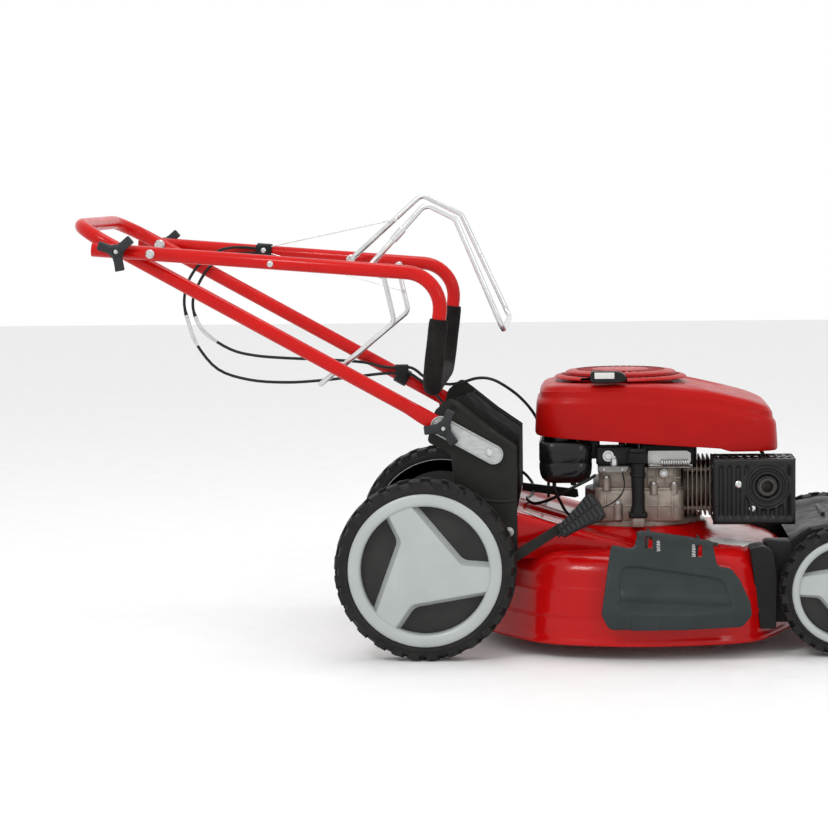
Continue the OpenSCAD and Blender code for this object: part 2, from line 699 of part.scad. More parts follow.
module engine_shroud() {
    color([0.68, 0.09, 0.08]) difference() {
        intersection() {
            side_slab(-200, 200) shroud_side(0);
            translate([0, 0, 250]) linear_extrude(250) shroud_plan(0);
        }
        intersection() {
            side_slab(-200, 200) shroud_side(3);
            translate([0, 0, 250]) linear_extrude(250) shroud_plan(3);
        }
        translate([blade_x - 20, 0, 380]) cylinder(h = 60, r = 84);
    }
}

module recoil_cap() {
    color([0.68, 0.09, 0.08]) translate([blade_x - 20, 0, 0]) difference() {
        rotate_extrude($fn = 96) polygon([[0, 428], [70, 427], [92, 424], [104, 418], [106, 414.2],
            [83.5, 414.2], [83.5, 404], [80.5, 404], [80.5, 420], [0, 424]]);
        translate([-66, -112, 413]) cube([76, 30, 40]);
        translate([0, 0, 400]) difference() {
            cylinder(h = 60, r = 62);
            translate([0, 0, -1]) cylinder(h = 62, r = 58);
            for (a = [0:30:330]) rotate([0, 0, a]) translate([40, -6, -1]) cube([40, 12, 62]);
        }
    }
}

module starter_grip() {
    color([0.1, 0.1, 0.1]) {
        translate([281, -130, 423]) difference() {
            union() {
                translate([-28, 0, -9]) cube([56, 26, 15]);
                translate([-21, -2, -4]) cube([42, 2, 10]);
            }
            translate([-13, -4, -10]) cube([5, 14, 4]);
        }
        // short tail of the rope between the grip and the guide
        rod([281, -104, 421], [281, -97, 421], 2.2);
    }
}

module fuel_tank() {
    color([0.1, 0.1, 0.09]) difference() {
        union() {
            translate([172, -124, 262]) cube([84, 190, 58]);
            translate([180, -116, 254]) cube([70, 174, 9]);
            translate([205, -60, 320]) cylinder(h = 24, r = 26);
        }
        translate([176, -120, 266]) cube([76, 182, 50]);
        translate([205, -60, 300]) cylinder(h = 60, r = 20);
    }
}

oil_xy = [327, -124];
module oil_filler_tube() {
    color([0.1, 0.1, 0.1]) difference() {
        union() {
            translate([oil_xy.x, oil_xy.y, 208]) cylinder(h = 80, r = 9.5);
            translate([oil_xy.x - 15, oil_xy.y - 11, 202]) cube([30, 29.8, 8]);
        }
        translate([oil_xy.x, oil_xy.y, 212]) cylinder(h = 90, r = 7);
    }
}
module oil_cap() {
    color([0.08, 0.08, 0.08]) difference() {
        union() {
            translate([oil_xy.x, oil_xy.y, 288.3]) cylinder(h = 16, r = 15);
            translate([oil_xy.x, oil_xy.y, 230]) cylinder(h = 60, r = 3);
            translate([oil_xy.x - 13, oil_xy.y - 3, 304]) cube([26, 6, 7]);
        }
        for (a = [0:30:330]) translate([oil_xy.x, oil_xy.y, 286]) rotate([0, 0, a]) translate([15.6, 0, 0])
            cylinder(h = 17, r = 1.6);
    }
}

module carburettor() {
    color([0.6, 0.6, 0.6]) difference() {
        union() {
            translate([345, 100.3, 240]) cube([44, 26, 50]);
            translate([352, 106, 214]) cube([30, 18, 27]);
        }
        translate([367, 90, 268]) rotate([-90, 0, 0]) cylinder(h = 50, r = 11);
    }
}
module air_filter_box() {
    color([0.1, 0.1, 0.1]) difference() {
        translate([300, 126.6, 214]) cube([124, 42, 94]);
        translate([304, 130, 218]) cube([116, 34, 86]);
        translate([367, 120, 268]) rotate([-90, 0, 0]) cylinder(h = 12, r = 11);
    }
}

module control_bracket() {
    color([0.66, 0.66, 0.64]) {
        difference() {
            union() {
                translate([264, -124, 280.4]) cube([50, 40, 2.5]);
                translate([264, -126, 262]) cube([50, 2.5, 20.9]);
                translate([264, -124, 262]) cube([2.5, 23.5, 18.4]);
            }
            translate([290, -110, 270]) cylinder(h = 20, r = 3);
        }
        // governor spring and its lever, behind the bracket's face
        translate([338, -118, 284]) rotate([0, 90, 0]) cylinder(h = 44, r = 3.4);
        translate([345, -112, 296]) cube([64, 60, 2]);
        translate([290, -110, 282.9]) cylinder(h = 12, r = 7);
    }
}

module muffler() {
    color([0.3, 0.29, 0.28]) difference() {
        union() {
            translate([456, -136, 206]) cube([100, 62, 78]);
            translate([470, -75, 226]) cube([24, 8.8, 24]);
            translate([526, -148, 254]) rotate([90, 0, 0]) cylinder(h = 6, r = 16);
            translate([526, -136, 254]) rotate([90, 0, 0]) cylinder(h = 14, r = 13);
        }
        translate([459, -133, 209]) cube([94, 56, 72]);
        translate([526, -130, 254]) rotate([90, 0, 0]) cylinder(h = 30, r = 10);
    }
}

module muffler_guard() {
    color([0.12, 0.12, 0.12]) difference() {
        translate([442, -154, 194]) cube([128, 84, 103]);
        translate([445, -151, 190]) cube([122, 90, 104]);
        for (i = [0:8]) translate([449 + 13.2 * i, -160, 240]) cube([6, 12, 52]);
        for (i = [0:3]) translate([449 + 13.2 * i, -160, 200]) cube([6, 12, 30]);
        translate([526, -140, 254]) rotate([90, 0, 0]) cylinder(h = 20, r = 20);
        for (i = [0:8]) translate([449 + 13.2 * i, -140, 290]) cube([7, 60, 20]);
    }
}

// ---------- crankshaft, blade and drive ----------
// V-belt pulley on the Z axis
module pulley(hub_r) {
    rotate_extrude() polygon([[hub_r, 0], [pulley_r, 0], [pulley_r, 2], [24, 3.5], [24, 10.5], [pulley_r, 12],
        [pulley_r, 14], [hub_r, 14]]);
}
module crankshaft() {
    color("silver") translate([blade_x, 0, 0]) {
        translate([0, 0, 62]) cylinder(h = 268, r = 12.5);
        translate([0, 0, 330]) cylinder(h = 26, r = 78);
        for (a = [0:24:336]) rotate([0, 0, a]) translate([52, -1, 340]) cube([24, 2, 34]);
        translate([0, 0, belt_z]) pulley(10);
    }
}
module cutting_blade() {
    half = 248;
    color([0.3, 0.3, 0.32]) difference() {
        union() {
            // blade holder
            translate([blade_x, 0, 52]) cylinder(h = 40, r = 22);
            translate([blade_x - 45, -20, 48]) cube([90, 40, 6]);
            // blade with turned-up tails
            translate([blade_x - half, -27, 44]) cube([2 * half, 54, 4]);
            for (a = [0, 180]) translate([blade_x, 0, 0]) rotate([0, 0, a]) translate([half - 90, 12, 44])
                rotate([35, 0, 0]) cube([90, 24, 4]);
            // bolt and washer
            translate([blade_x, 0, 36]) cylinder(h = 9, r = 14);
            translate([blade_x, 0, 28]) cylinder(h = 9, r = 9, $fn = 6);
        }
        translate([blade_x, 0, 61.9]) cylinder(h = 40, r = 12.52);
        for (a = [0, 180]) translate([blade_x, 0, 0]) rotate([0, 0, a]) translate([120, -29, 43.9])
            rotate([35, 0, 0]) translate([0, -20, -2]) cube([140, 20, 2]);
    }
}

// Gearbox under the discharge tunnel, with its input pulley on top
module gearbox() {
    color([0.5, 0.5, 0.5]) {
        translate([-22, -28, 84]) cube([54, 56, 38]);
        translate([0, 0, 100]) cylinder(h = 38, r = 6);
        for (s = [-1, 1]) translate([5, s * 28, 103]) rotate([-90 * s, 0, 0]) cylinder(h = 14, r = 12);
    }
}
module drive_pulley() {
    color([0.4, 0.4, 0.42]) translate([0, 0, belt_z]) difference() {
        pulley(5);
        translate([0, 0, -1]) cylinder(h = 16, r = 6 + bore_gap);
    }
}
module belt_loop(r) {
    polygon(concat([for (p = arc(r, -90, 90, 24)) p + [blade_x, 0]], arc(r, 90, 270, 24)));
}
module drive_belt() {
    color([0.07, 0.07, 0.07]) translate([0, 0, belt_z + 4]) linear_extrude(6) difference() {
        belt_loop(31);
        belt_loop(25);
    }
}

module placed() translate(origin_shift) children();
placed() deck();
placed() front_cover();
placed() side_plates();
placed() rear_hood();
placed() hinge_rods();
placed() rear_flap();
placed() chute_cover();
placed() height_quadrant();
placed() height_lever();
placed() rear_axle_carrier();
placed() front_axle_carrier();
placed() handle_pivot_bolts();
placed() rear_tyre_right();
placed() rear_tyre_left();
placed() rear_rim_right();
placed() rear_rim_left();
placed() rear_wheel_disc_right();
placed() rear_wheel_disc_left();
placed() front_tyre_right();
placed() front_tyre_left();
placed() front_rim_right();
placed() front_rim_left();
placed() lower_handle();
placed() handle_channels();
placed() bracket_knob_right();
placed() bracket_knob_left();
placed() upper_handle();
placed() foam_grip();
placed() fold_knob_right();
placed() fold_knob_left();
placed() fold_bolts();
placed() cable_clamp();
placed() cable_clip();
placed() handle_fittings();
placed() stop_bail();
placed() drive_bail();
placed() stop_cable_upper();
placed() stop_cable_lower();
placed() drive_cable_upper();
placed() drive_cable_lower();
placed() crankcase();
placed() cylinder_block();
placed() cylinder_head();
placed() spark_plug();
placed() engine_shroud();
placed() recoil_cap();
placed() starter_grip();
placed() fuel_tank();
placed() oil_filler_tube();
placed() oil_cap();
placed() carburettor();
placed() air_filter_box();
placed() control_bracket();
placed() muffler();
placed() muffler_guard();
placed() crankshaft();
placed() cutting_blade();
placed() gearbox();
placed() drive_pulley();
placed() drive_belt();
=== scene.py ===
"""Looks of a walk-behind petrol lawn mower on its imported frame.

Places are in millimetres in the design frame: X forward from the rear axle, Y to the
machine's left, Z up from the ground. at() turns them into the row frame's metres.
"""

import json
from math import acos, atan2, cos, degrees, hypot, pi, radians, sin, sqrt, tan

import bmesh
import bpy
from mathutils import Matrix, Vector

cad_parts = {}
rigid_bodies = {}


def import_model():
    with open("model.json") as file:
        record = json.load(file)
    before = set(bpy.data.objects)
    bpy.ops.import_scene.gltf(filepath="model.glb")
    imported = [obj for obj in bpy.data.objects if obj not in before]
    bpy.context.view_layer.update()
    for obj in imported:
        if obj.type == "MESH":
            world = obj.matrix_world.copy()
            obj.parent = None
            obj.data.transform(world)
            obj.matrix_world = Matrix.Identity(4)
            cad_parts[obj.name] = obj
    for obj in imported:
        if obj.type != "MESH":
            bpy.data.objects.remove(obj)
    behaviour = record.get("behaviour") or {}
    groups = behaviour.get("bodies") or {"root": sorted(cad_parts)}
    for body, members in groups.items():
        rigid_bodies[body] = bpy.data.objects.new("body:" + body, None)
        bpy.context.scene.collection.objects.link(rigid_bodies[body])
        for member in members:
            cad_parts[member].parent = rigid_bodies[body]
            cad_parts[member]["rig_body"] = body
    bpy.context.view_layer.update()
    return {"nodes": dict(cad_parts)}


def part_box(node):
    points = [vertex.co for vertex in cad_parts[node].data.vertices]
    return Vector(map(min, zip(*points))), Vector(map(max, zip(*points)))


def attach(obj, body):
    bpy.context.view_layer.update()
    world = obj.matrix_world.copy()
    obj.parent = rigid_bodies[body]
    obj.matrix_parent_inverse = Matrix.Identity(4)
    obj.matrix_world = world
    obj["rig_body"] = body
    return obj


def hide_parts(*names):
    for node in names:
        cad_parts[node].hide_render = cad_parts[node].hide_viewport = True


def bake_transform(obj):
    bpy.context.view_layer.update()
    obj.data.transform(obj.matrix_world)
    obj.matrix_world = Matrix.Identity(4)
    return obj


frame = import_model()
MM = 0.001


def middle(node):
    lo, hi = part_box(node)
    return (lo + hi) / 2


ORIGIN = (middle("rear_tyre_right") + middle("rear_tyre_left")) / 2
ORIGIN.z = 0


def at(x, y, z):
    return ORIGIN + Vector((x, y, z)) * MM


# ---------- driving places, as in the CAD ----------
REAR_R, REAR_W, REAR_Y = 140, 46, 245
FRONT_R, FRONT_W, FRONT_Y = 100, 40, 210
WHEELBASE = 640
BLADE_X = 322
SLOPE = radians(29)
TUBE_R = 11
LOWER_Y, UPPER_Y = 188, 211
KNOB_AT = Vector((28, 353))
HANDLE_DIR = Vector((-cos(SLOPE), sin(SLOPE)))
PIVOT_AT = KNOB_AT - 80 * HANDLE_DIR
FOLD_AT = KNOB_AT + 569 * HANDLE_DIR
UPPER_END = FOLD_AT + Vector((-41, 3.4))
UPPER_CORNER = Vector((31, 588))
UPPER_DIR = (UPPER_CORNER - UPPER_END).normalized()
GRIP_BAR = Vector((10, 415))
FOAM_TOP = Vector((22.75, 520))
STOP_RIGHT, STOP_LEFT = Vector((-88, -181, 598)), Vector((-146, 181, 601))
STOP_AXIS = (STOP_LEFT - STOP_RIGHT).normalized()
DRIVE_AT = Vector((-66, 590))


def in_side_view(p, y):
    return Vector((p[0], y, p[1]))


# ---------- camera ----------
def add_camera():
    """The fitted view: its place in the design frame, its turns in degrees and its lens at 36 mm sensor."""
    yaw, pitch, roll = radians(-3.821), radians(5.227), radians(-0.675)
    forward = Vector((sin(yaw) * cos(pitch), cos(yaw) * cos(pitch), -sin(pitch)))
    right = Vector((cos(yaw), -sin(yaw), 0))
    up = right.cross(forward)
    right, up = cos(roll) * right + sin(roll) * up, cos(roll) * up - sin(roll) * right
    data = bpy.data.cameras.new("view")
    data.sensor_width, data.lens = 36, 111.65
    data.clip_start, data.clip_end = 0.1, 60
    camera = bpy.data.objects.new("view", data)
    bpy.context.scene.collection.objects.link(camera)
    turn = Matrix((right, up, -forward)).transposed().to_4x4()
    camera.matrix_world = Matrix.Translation(at(244.6, -4129.2, 734.4)) @ turn
    bpy.context.scene.camera = camera


add_camera()


# ---------- forms: lists of points in the design frame, and faces ----------
def join(*forms):
    verts, faces = [], []
    for more, its_faces in forms:
        n = len(verts)
        verts += [Vector(v) for v in more]
        faces += [[i + n for i in face] for face in its_faces]
    return verts, faces


def placed(form, move):
    return [move(Vector(v)) for v in form[0]], form[1]


def moved(form, matrix):
    return [matrix @ Vector(v) for v in form[0]], form[1]


def mirrored(form):
    return [Vector((v[0], -v[1], v[2])) for v in form[0]], [list(reversed(f)) for f in form[1]]


def loft(rings, ends=(True, True), closed=True):
    """Skin over rings of equally many points. A closed ring joins its last point to its first."""
    n = len(rings[0])
    verts = [Vector(p) for ring in rings for p in ring]
    faces = []
    for k in range(len(rings) - 1):
        for i in range(n if closed else n - 1):
            j = (i + 1) % n
            faces.append([k * n + i, k * n + j, (k + 1) * n + j, (k + 1) * n + i])
    if ends[0]:
        faces.append(list(reversed(range(n))))
    if ends[1]:
        faces.append([(len(rings) - 1) * n + i for i in range(n)])
    return verts, faces


def prism(outline, y0, y1):
    """A side-view outline of (x, z) points, carried across from y0 to y1."""
    return loft([[(x, y0, z) for x, z in outline], [(x, y1, z) for x, z in outline]])


def plate(outline, z0, z1):
    """A plan-view outline of (x, y) points, carried up from z0 to z1."""
    return loft([[(x, y, z0) for x, y in outline], [(x, y, z1) for x, y in outline]])


def block(lo, hi):
    return plate([(lo[0], lo[1]), (hi[0], lo[1]), (hi[0], hi[1]), (lo[0], hi[1])], lo[2], hi[2])


def lathe(profile, steps=64, closed=False):
    """Profile of (radius, height) turned round local Z."""
    rings = [[(r * cos(2 * pi * i / steps), r * sin(2 * pi * i / steps), h) for i in range(steps)]
             for r, h in profile]
    if closed:
        rings.append(rings[0])
    return loft(rings, (not closed, not closed))


def circle(r, n=24):
    return [(r * cos(2 * pi * i / n), r * sin(2 * pi * i / n)) for i in range(n)]


def bent(points, bends, steps=8):
    """The points as a path whose corners are arcs of the given radii."""
    pts = [Vector(p) for p in points]
    path = [pts[0]]
    for before, corner, after, radius in zip(pts, pts[1:], pts[2:], bends[1:]):
        a, b = (before - corner).normalized(), (after - corner).normalized()
        half = acos(max(-1, min(1, a.dot(b)))) / 2
        if radius <= 0 or half > pi / 2 - 0.01:
            path.append(corner)
            continue
        reach = radius / tan(half)
        centre = corner + (a + b).normalized() * (radius / sin(half))
        u, v = corner + a * reach - centre, corner + b * reach - centre
        whole = u.angle(v)
        for i in range(steps + 1):
            t = i / steps
            path.append(centre + (u * sin((1 - t) * whole) + v * sin(t * whole)) / sin(whole))
    return path + [pts[-1]]


def smooth_path(points, per=4):
    """A Catmull-Rom curve through the points."""
    pts = [Vector(p) for p in points]
    ends = [2 * pts[0] - pts[1]] + pts + [2 * pts[-1] - pts[-2]]
    path = []
    for p0, p1, p2, p3 in zip(ends, ends[1:], ends[2:], ends[3:]):
        for i in range(per):
            t = i / per
            path.append(0.5 * (2 * p1 + (p2 - p0) * t + (2 * p0 - 5 * p1 + 4 * p2 - p3) * t ** 2
                               + (3 * p1 - p0 - 3 * p2 + p3) * t ** 3))
    return path + [pts[-1]]


def tangents(path):
    return [(b - a).normalized() for a, b in zip([path[0]] + path[:-1], path[1:] + [path[-1]])]


def sweep(path, radius, sides=20, squeeze=None):
    """A round section carried along a path. radius may be a list; squeeze(i) gives a point's own scaling."""
    radii = radius if isinstance(radius, (list, tuple)) else [radius] * len(path)
    along = tangents(path)
    across = along[0].orthogonal().normalized()
    rings = []
    for i, (p, t, r) in enumerate(zip(path, along, radii)):
        across = (across - t * across.dot(t)).normalized()
        other = t.cross(across)
        ring = [(across * cos(a) + other * sin(a)) * r for a in (2 * pi * k / sides for k in range(sides))]
        rings.append([p + (squeeze(i) @ v if squeeze else v) for v in ring])
    return loft(rings)


def rod(a, b, r, sides=20, edge=0.6):
    """A straight round bar with its rims chamfered."""
    a, b = Vector(a), Vector(b)
    t = (b - a).normalized()
    path = [a, a + t * edge, b - t * edge, b]
    return sweep(path, [r - edge, r, r, r - edge], sides)


def tube_open(path, r, wall=1.5, sides=24):
    """A tube whose ends are open, seen 14 mm deep."""
    along = tangents(path)
    first, last = path[0], path[-1]
    start = [first + along[0] * 14, first, first, first + along[0] * 0.5]
    finish = [last - along[-1] * 0.5, last, last, last - along[-1] * 14]
    across = along[0].orthogonal().normalized()
    rings = []
    inner = r - wall
    whole = list(zip(start, [along[0]] * 4, [inner, inner, r - 0.5, r]))
    whole += [(p, t, r) for p, t in list(zip(path, along))[1:-1]]
    whole += list(zip(finish, [along[-1]] * 4, [r, r - 0.5, inner, inner]))
    for p, t, radius in whole:
        across = (across - t * across.dot(t)).normalized()
        other = t.cross(across)
        rings.append([p + (across * cos(a) + other * sin(a)) * radius
                      for a in (2 * pi * k / sides for k in range(sides))])
    return loft(rings)


def rounded(points, radius, steps=5):
    """A closed 2-D outline whose corners are rounded; radius is one number or one for each corner."""
    pts = [Vector((p[0], p[1], 0)) for p in points]
    radii = radius if isinstance(radius, (list, tuple)) else [radius] * len(pts)
    outline = []
    for i, corner in enumerate(pts):
        before, after = pts[i - 1], pts[(i + 1) % len(pts)]
        if radii[i] <= 0:
            outline.append((corner.x, corner.y))
            continue
        arc = bent([before, corner, after], [0, radii[i]], steps)[1:-1]
        outline += [(p.x, p.y) for p in arc]
    return outline


def rounded_block(lo, hi, corner, top=2.0, steps=4):
    """A moulded block: rounded in plan, with its upper and lower rims eased."""
    def ring(inset, z):
        c = max(corner - inset, 0.3)
        return [(x, y, z) for x, y in rounded(
            [(lo[0] + inset, lo[1] + inset), (hi[0] - inset, lo[1] + inset),
             (hi[0] - inset, hi[1] - inset), (lo[0] + inset, hi[1] - inset)], c, steps)]
    return loft([ring(top, lo[2]), ring(top * 0.3, lo[2] + top * 0.3), ring(0, lo[2] + top),
                 ring(0, hi[2] - top), ring(top * 0.3, hi[2] - top * 0.3), ring(top, hi[2])])


def facing(place, direction):
    """The turn and move that stand a local form on place, looking along direction."""
    turn = Vector(direction).normalized().to_track_quat("Z", "Y").to_matrix().to_4x4()
    turn.translation = Vector(place)
    return turn


def hex_bolt(place, direction, r=5.0, head=3.6, washer=1.25):
    """A hexagon head on a washer, standing on place and looking along direction."""
    disc = lathe([(r * 0.2, 0), (r * washer, 0), (r * washer, 0.7), (r * washer - 0.4, 1.0),
                  (r * 0.2, 1.0)], 24)
    nut = loft([[(x, y, 1.0) for x, y in circle(r, 6)], [(x, y, head) for x, y in circle(r, 6)],
                [(x, y, head + 0.7) for x, y in circle(r * 0.84, 6)]])
    return moved(join(disc, nut), facing(place, direction))


def screw_head(place, direction, r=4.0):
    """A domed screw head with a small round dip in its top."""
    dome = lathe([(0.3, -0.3), (r, -0.3), (r, 0.5), (r * 0.86, 1.4), (r * 0.5, 2.0), (0.45 * r, 1.1),
                  (0.2, 1.0)], 20)
    return moved(dome, facing(place, direction))


def to_frame(form):
    return [at(*v) for v in form[0]], form[1]


def piece(name, body, material, form, replaces=(), bevel=0.0, smooth=35, segments=2,
          solidify=0.0, more_materials=(), face_material=None):
    """A mesh piece in place: built, finished, and riding on its body."""
    verts, faces = to_frame(form)
    mesh = bpy.data.meshes.new(name)
    mesh.from_pydata(verts, [], faces)
    mesh.validate()
    fix = bmesh.new()
    fix.from_mesh(mesh)
    bmesh.ops.remove_doubles(fix, verts=fix.verts, dist=1e-6)
    bmesh.ops.recalc_face_normals(fix, faces=fix.faces)
    fix.to_mesh(mesh)
    fix.free()
    obj = bpy.data.objects.new(name, mesh)
    bpy.context.scene.collection.objects.link(obj)
    mesh.materials.append(material)
    for extra in more_materials:
        mesh.materials.append(extra)
    if face_material:
        for polygon in mesh.polygons:
            polygon.material_index = face_material(polygon)
    if smooth:
        mesh.shade_smooth()
        mesh.set_sharp_from_angle(angle=radians(smooth))
    if solidify:
        shell = obj.modifiers.new("wall", "SOLIDIFY")
        shell.thickness, shell.offset = solidify * MM, -1
    if bevel:
        edge = obj.modifiers.new("edge", "BEVEL")
        edge.width, edge.segments, edge.limit_method = bevel * MM, segments, "ANGLE"
        edge.angle_limit = radians(32)
        edge.harden_normals = True
    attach(obj, body)
    if replaces:
        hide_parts(*([replaces] if isinstance(replaces, str) else replaces))
    return obj


# ---------- materials ----------
def finish(name, colour, rough, metallic=0.0, coat=0.0, vary=0.12, patch=0.06, grain=0.0004, bump=0.15,
           rough_vary=0.1, ior=1.5, pattern="noise", wear=None, stretch=None, specular=0.5):
    """A procedural finish. patch and grain are the sizes, in metres, of its broad and its fine variation;
    wear is a second colour that shows in small worn or dusty patches."""
    material = bpy.data.materials.new(name)
    material.use_nodes = True
    tree = material.node_tree
    shader = tree.nodes["Principled BSDF"]
    new, link = tree.nodes.new, tree.links.new
    shader.inputs["Metallic"].default_value = metallic
    shader.inputs["Coat Weight"].default_value = coat
    shader.inputs["Coat Roughness"].default_value = 0.06
    shader.inputs["IOR"].default_value = ior
    shader.inputs["Specular IOR Level"].default_value = specular
    place = new("ShaderNodeTexCoord").outputs["Object"]
    if stretch:
        mapping = new("ShaderNodeMapping")
        mapping.inputs["Scale"].default_value = stretch
        link(place, mapping.inputs["Vector"])
        place = mapping.outputs["Vector"]

    def noise_node(size, detail=3.0):
        node = new("ShaderNodeTexNoise")
        node.inputs["Scale"].default_value = 1 / size
        node.inputs["Detail"].default_value = detail
        link(place, node.inputs["Vector"])
        return node.outputs["Fac"]

    broad = noise_node(patch, 4)
    ramp = new("ShaderNodeValToRGB")
    darker = [c * (1 - vary) for c in colour] + [1]
    lighter = [min(1, c * (1 + vary)) for c in colour] + [1]
    ramp.color_ramp.elements[0].position, ramp.color_ramp.elements[0].color = 0.36, darker
    ramp.color_ramp.elements[1].position, ramp.color_ramp.elements[1].color = 0.64, lighter
    link(broad, ramp.inputs["Fac"])
    shade = ramp.outputs["Color"]
    if wear:
        small = noise_node(patch / 5, 6)
        mask = new("ShaderNodeMapRange")
        mask.inputs["From Min"].default_value, mask.inputs["From Max"].default_value = 0.58, 0.72
        mask.inputs["To Max"].default_value = 0.6
        link(small, mask.inputs["Value"])
        mix = new("ShaderNodeMix")
        mix.data_type = "RGBA"
        link(mask.outputs["Result"], mix.inputs["Factor"])
        link(shade, mix.inputs["A"])
        mix.inputs["B"].default_value = list(wear) + [1]
        shade = mix.outputs["Result"]
    link(shade, shader.inputs["Base Color"])

    uneven = new("ShaderNodeMapRange")
    uneven.inputs["From Min"].default_value, uneven.inputs["From Max"].default_value = 0.3, 0.7
    uneven.inputs["To Min"].default_value = max(0.02, rough - rough_vary)
    uneven.inputs["To Max"].default_value = min(1, rough + rough_vary)
    link(noise_node(patch / 3, 5), uneven.inputs["Value"])
    link(uneven.outputs["Result"], shader.inputs["Roughness"])

    if pattern == "cells":
        cells = new("ShaderNodeTexVoronoi")
        cells.inputs["Scale"].default_value = 1 / grain
        link(place, cells.inputs["Vector"])
        height = cells.outputs["Distance"]
    else:
        height = noise_node(grain, 2)
    lift = new("ShaderNodeBump")
    lift.inputs["Strength"].default_value = bump
    lift.inputs["Distance"].default_value = grain * 0.6
    link(height, lift.inputs["Height"])
    link(lift.outputs["Normal"], shader.inputs["Normal"])
    return material


HANDLE_RED = finish("handle_red", (0.50, 0.004, 0.003), 0.26, coat=0.12, vary=0.06, grain=0.0012, bump=0.06,
                    rough_vary=0.05, specular=0.15)
SHROUD_RED = finish("shroud_red", (0.37, 0.003, 0.002), 0.36, coat=0.03, vary=0.05, grain=0.0006, bump=0.08,
                    rough_vary=0.06, specular=0.14)
BLACK_PLASTIC = finish("black_plastic", (0.009, 0.009, 0.009), 0.45, vary=0.2, grain=0.0005, bump=0.25,
                       specular=0.2)
GLOSS_BLACK = finish("gloss_black", (0.007, 0.007, 0.0075), 0.26, coat=0.15, vary=0.2, grain=0.0009,
                     bump=0.08, specular=0.25)
SHEET_BLACK = finish("black_sheet", (0.012, 0.012, 0.0105), 0.42, vary=0.15, grain=0.0010, bump=0.1,
                     specular=0.2)
HOOD_BLACK = finish("hood_black", (0.006, 0.006, 0.0055), 0.6, vary=0.15, grain=0.0010, bump=0.08, ior=1.1,
                    specular=0.1)
COVER_GREY = finish("cover_grey", (0.018, 0.024, 0.025), 0.46, vary=0.12, grain=0.0006, bump=0.22,
                    specular=0.28)
KNOB_GREY = finish("knob_grey", (0.017, 0.019, 0.021), 0.48, vary=0.15, grain=0.0005, bump=0.2, specular=0.3)
FOAM = finish("foam", (0.011, 0.010, 0.0095), 0.85, vary=0.25, patch=0.02, grain=0.0011, bump=0.55,
              pattern="cells", specular=0.15)
RIM_SILVER = finish("rim_silver", (0.40, 0.43, 0.42), 0.4, metallic=0.1, coat=0.08, vary=0.035, grain=0.0006,
                    bump=0.06, specular=0.3)
RIM_BACK = finish("rim_back", (0.026, 0.026, 0.025), 0.5, vary=0.15, grain=0.0006, bump=0.15, specular=0.2)
TYRE = finish("tyre", (0.010, 0.0095, 0.009), 0.6, vary=0.25, patch=0.03, grain=0.0007, bump=0.35,
              wear=(0.024, 0.022, 0.02), specular=0.25)
ZINC = finish("zinc", (0.58, 0.59, 0.58), 0.3, metallic=0.9, vary=0.1, patch=0.012, grain=0.0008, bump=0.12,
              rough_vary=0.1)
BRACKET_ZINC = finish("bracket_zinc", (0.22, 0.215, 0.20), 0.45, metallic=0.85, vary=0.15, patch=0.012,
                      grain=0.0008, bump=0.12)
CHANNEL_ZINC = finish("channel_zinc", (0.48, 0.50, 0.49), 0.42, metallic=0.75, vary=0.1, patch=0.015,
                      grain=0.0006, bump=0.12, stretch=(1, 1, 5))
BAIL_STEEL = finish("bail_steel", (0.66, 0.67, 0.67), 0.25, metallic=0.85, vary=0.06, patch=0.03,
                    grain=0.0006, bump=0.06)
BLADE_STEEL = finish("blade_steel", (0.09, 0.09, 0.10), 0.4, metallic=0.8, vary=0.2, grain=0.0006, bump=0.2)
CAST_ALUMINIUM = finish("cast_aluminium", (0.33, 0.29, 0.245), 0.5, metallic=0.5, vary=0.16, patch=0.02,
                        grain=0.0012, bump=0.35, wear=(0.18, 0.155, 0.13))
MUFFLER_STEEL = finish("muffler_steel", (0.055, 0.05, 0.046), 0.5, metallic=0.5, vary=0.25, patch=0.015,
                       grain=0.0009, bump=0.25, wear=(0.09, 0.07, 0.05))
GUARD_BLACK = finish("guard_black", (0.008, 0.008, 0.008), 0.38, vary=0.2, grain=0.0009, bump=0.15,
                     specular=0.3)
BELT = finish("belt", (0.02, 0.02, 0.02), 0.75, vary=0.2, patch=0.01, grain=0.0007, bump=0.4)
CABLE_BLACK = finish("cable_black", (0.008, 0.008, 0.008), 0.35, vary=0.15, grain=0.0005, bump=0.1,
                     specular=0.25)
PALE_LABEL = finish("pale_panel", (0.62, 0.62, 0.60), 0.35, vary=0.04, grain=0.0005, bump=0.05)
# Painted shade: near-black for the floors of the starter cover's slots and louvres, in place of the shade
# inside the openings.
PAINTED_SHADE_FLOOR = finish("painted_shade_floor", (0.004, 0.004, 0.004), 0.7, vary=0.3, grain=0.0008, bump=0.2, specular=0.1)
DECK_RED = finish("deck_red", (0.44, 0.003, 0.0035), 0.2, coat=0.14, vary=0.06, patch=0.1, grain=0.0016,
                  bump=0.04, rough_vary=0.04, specular=0.15)


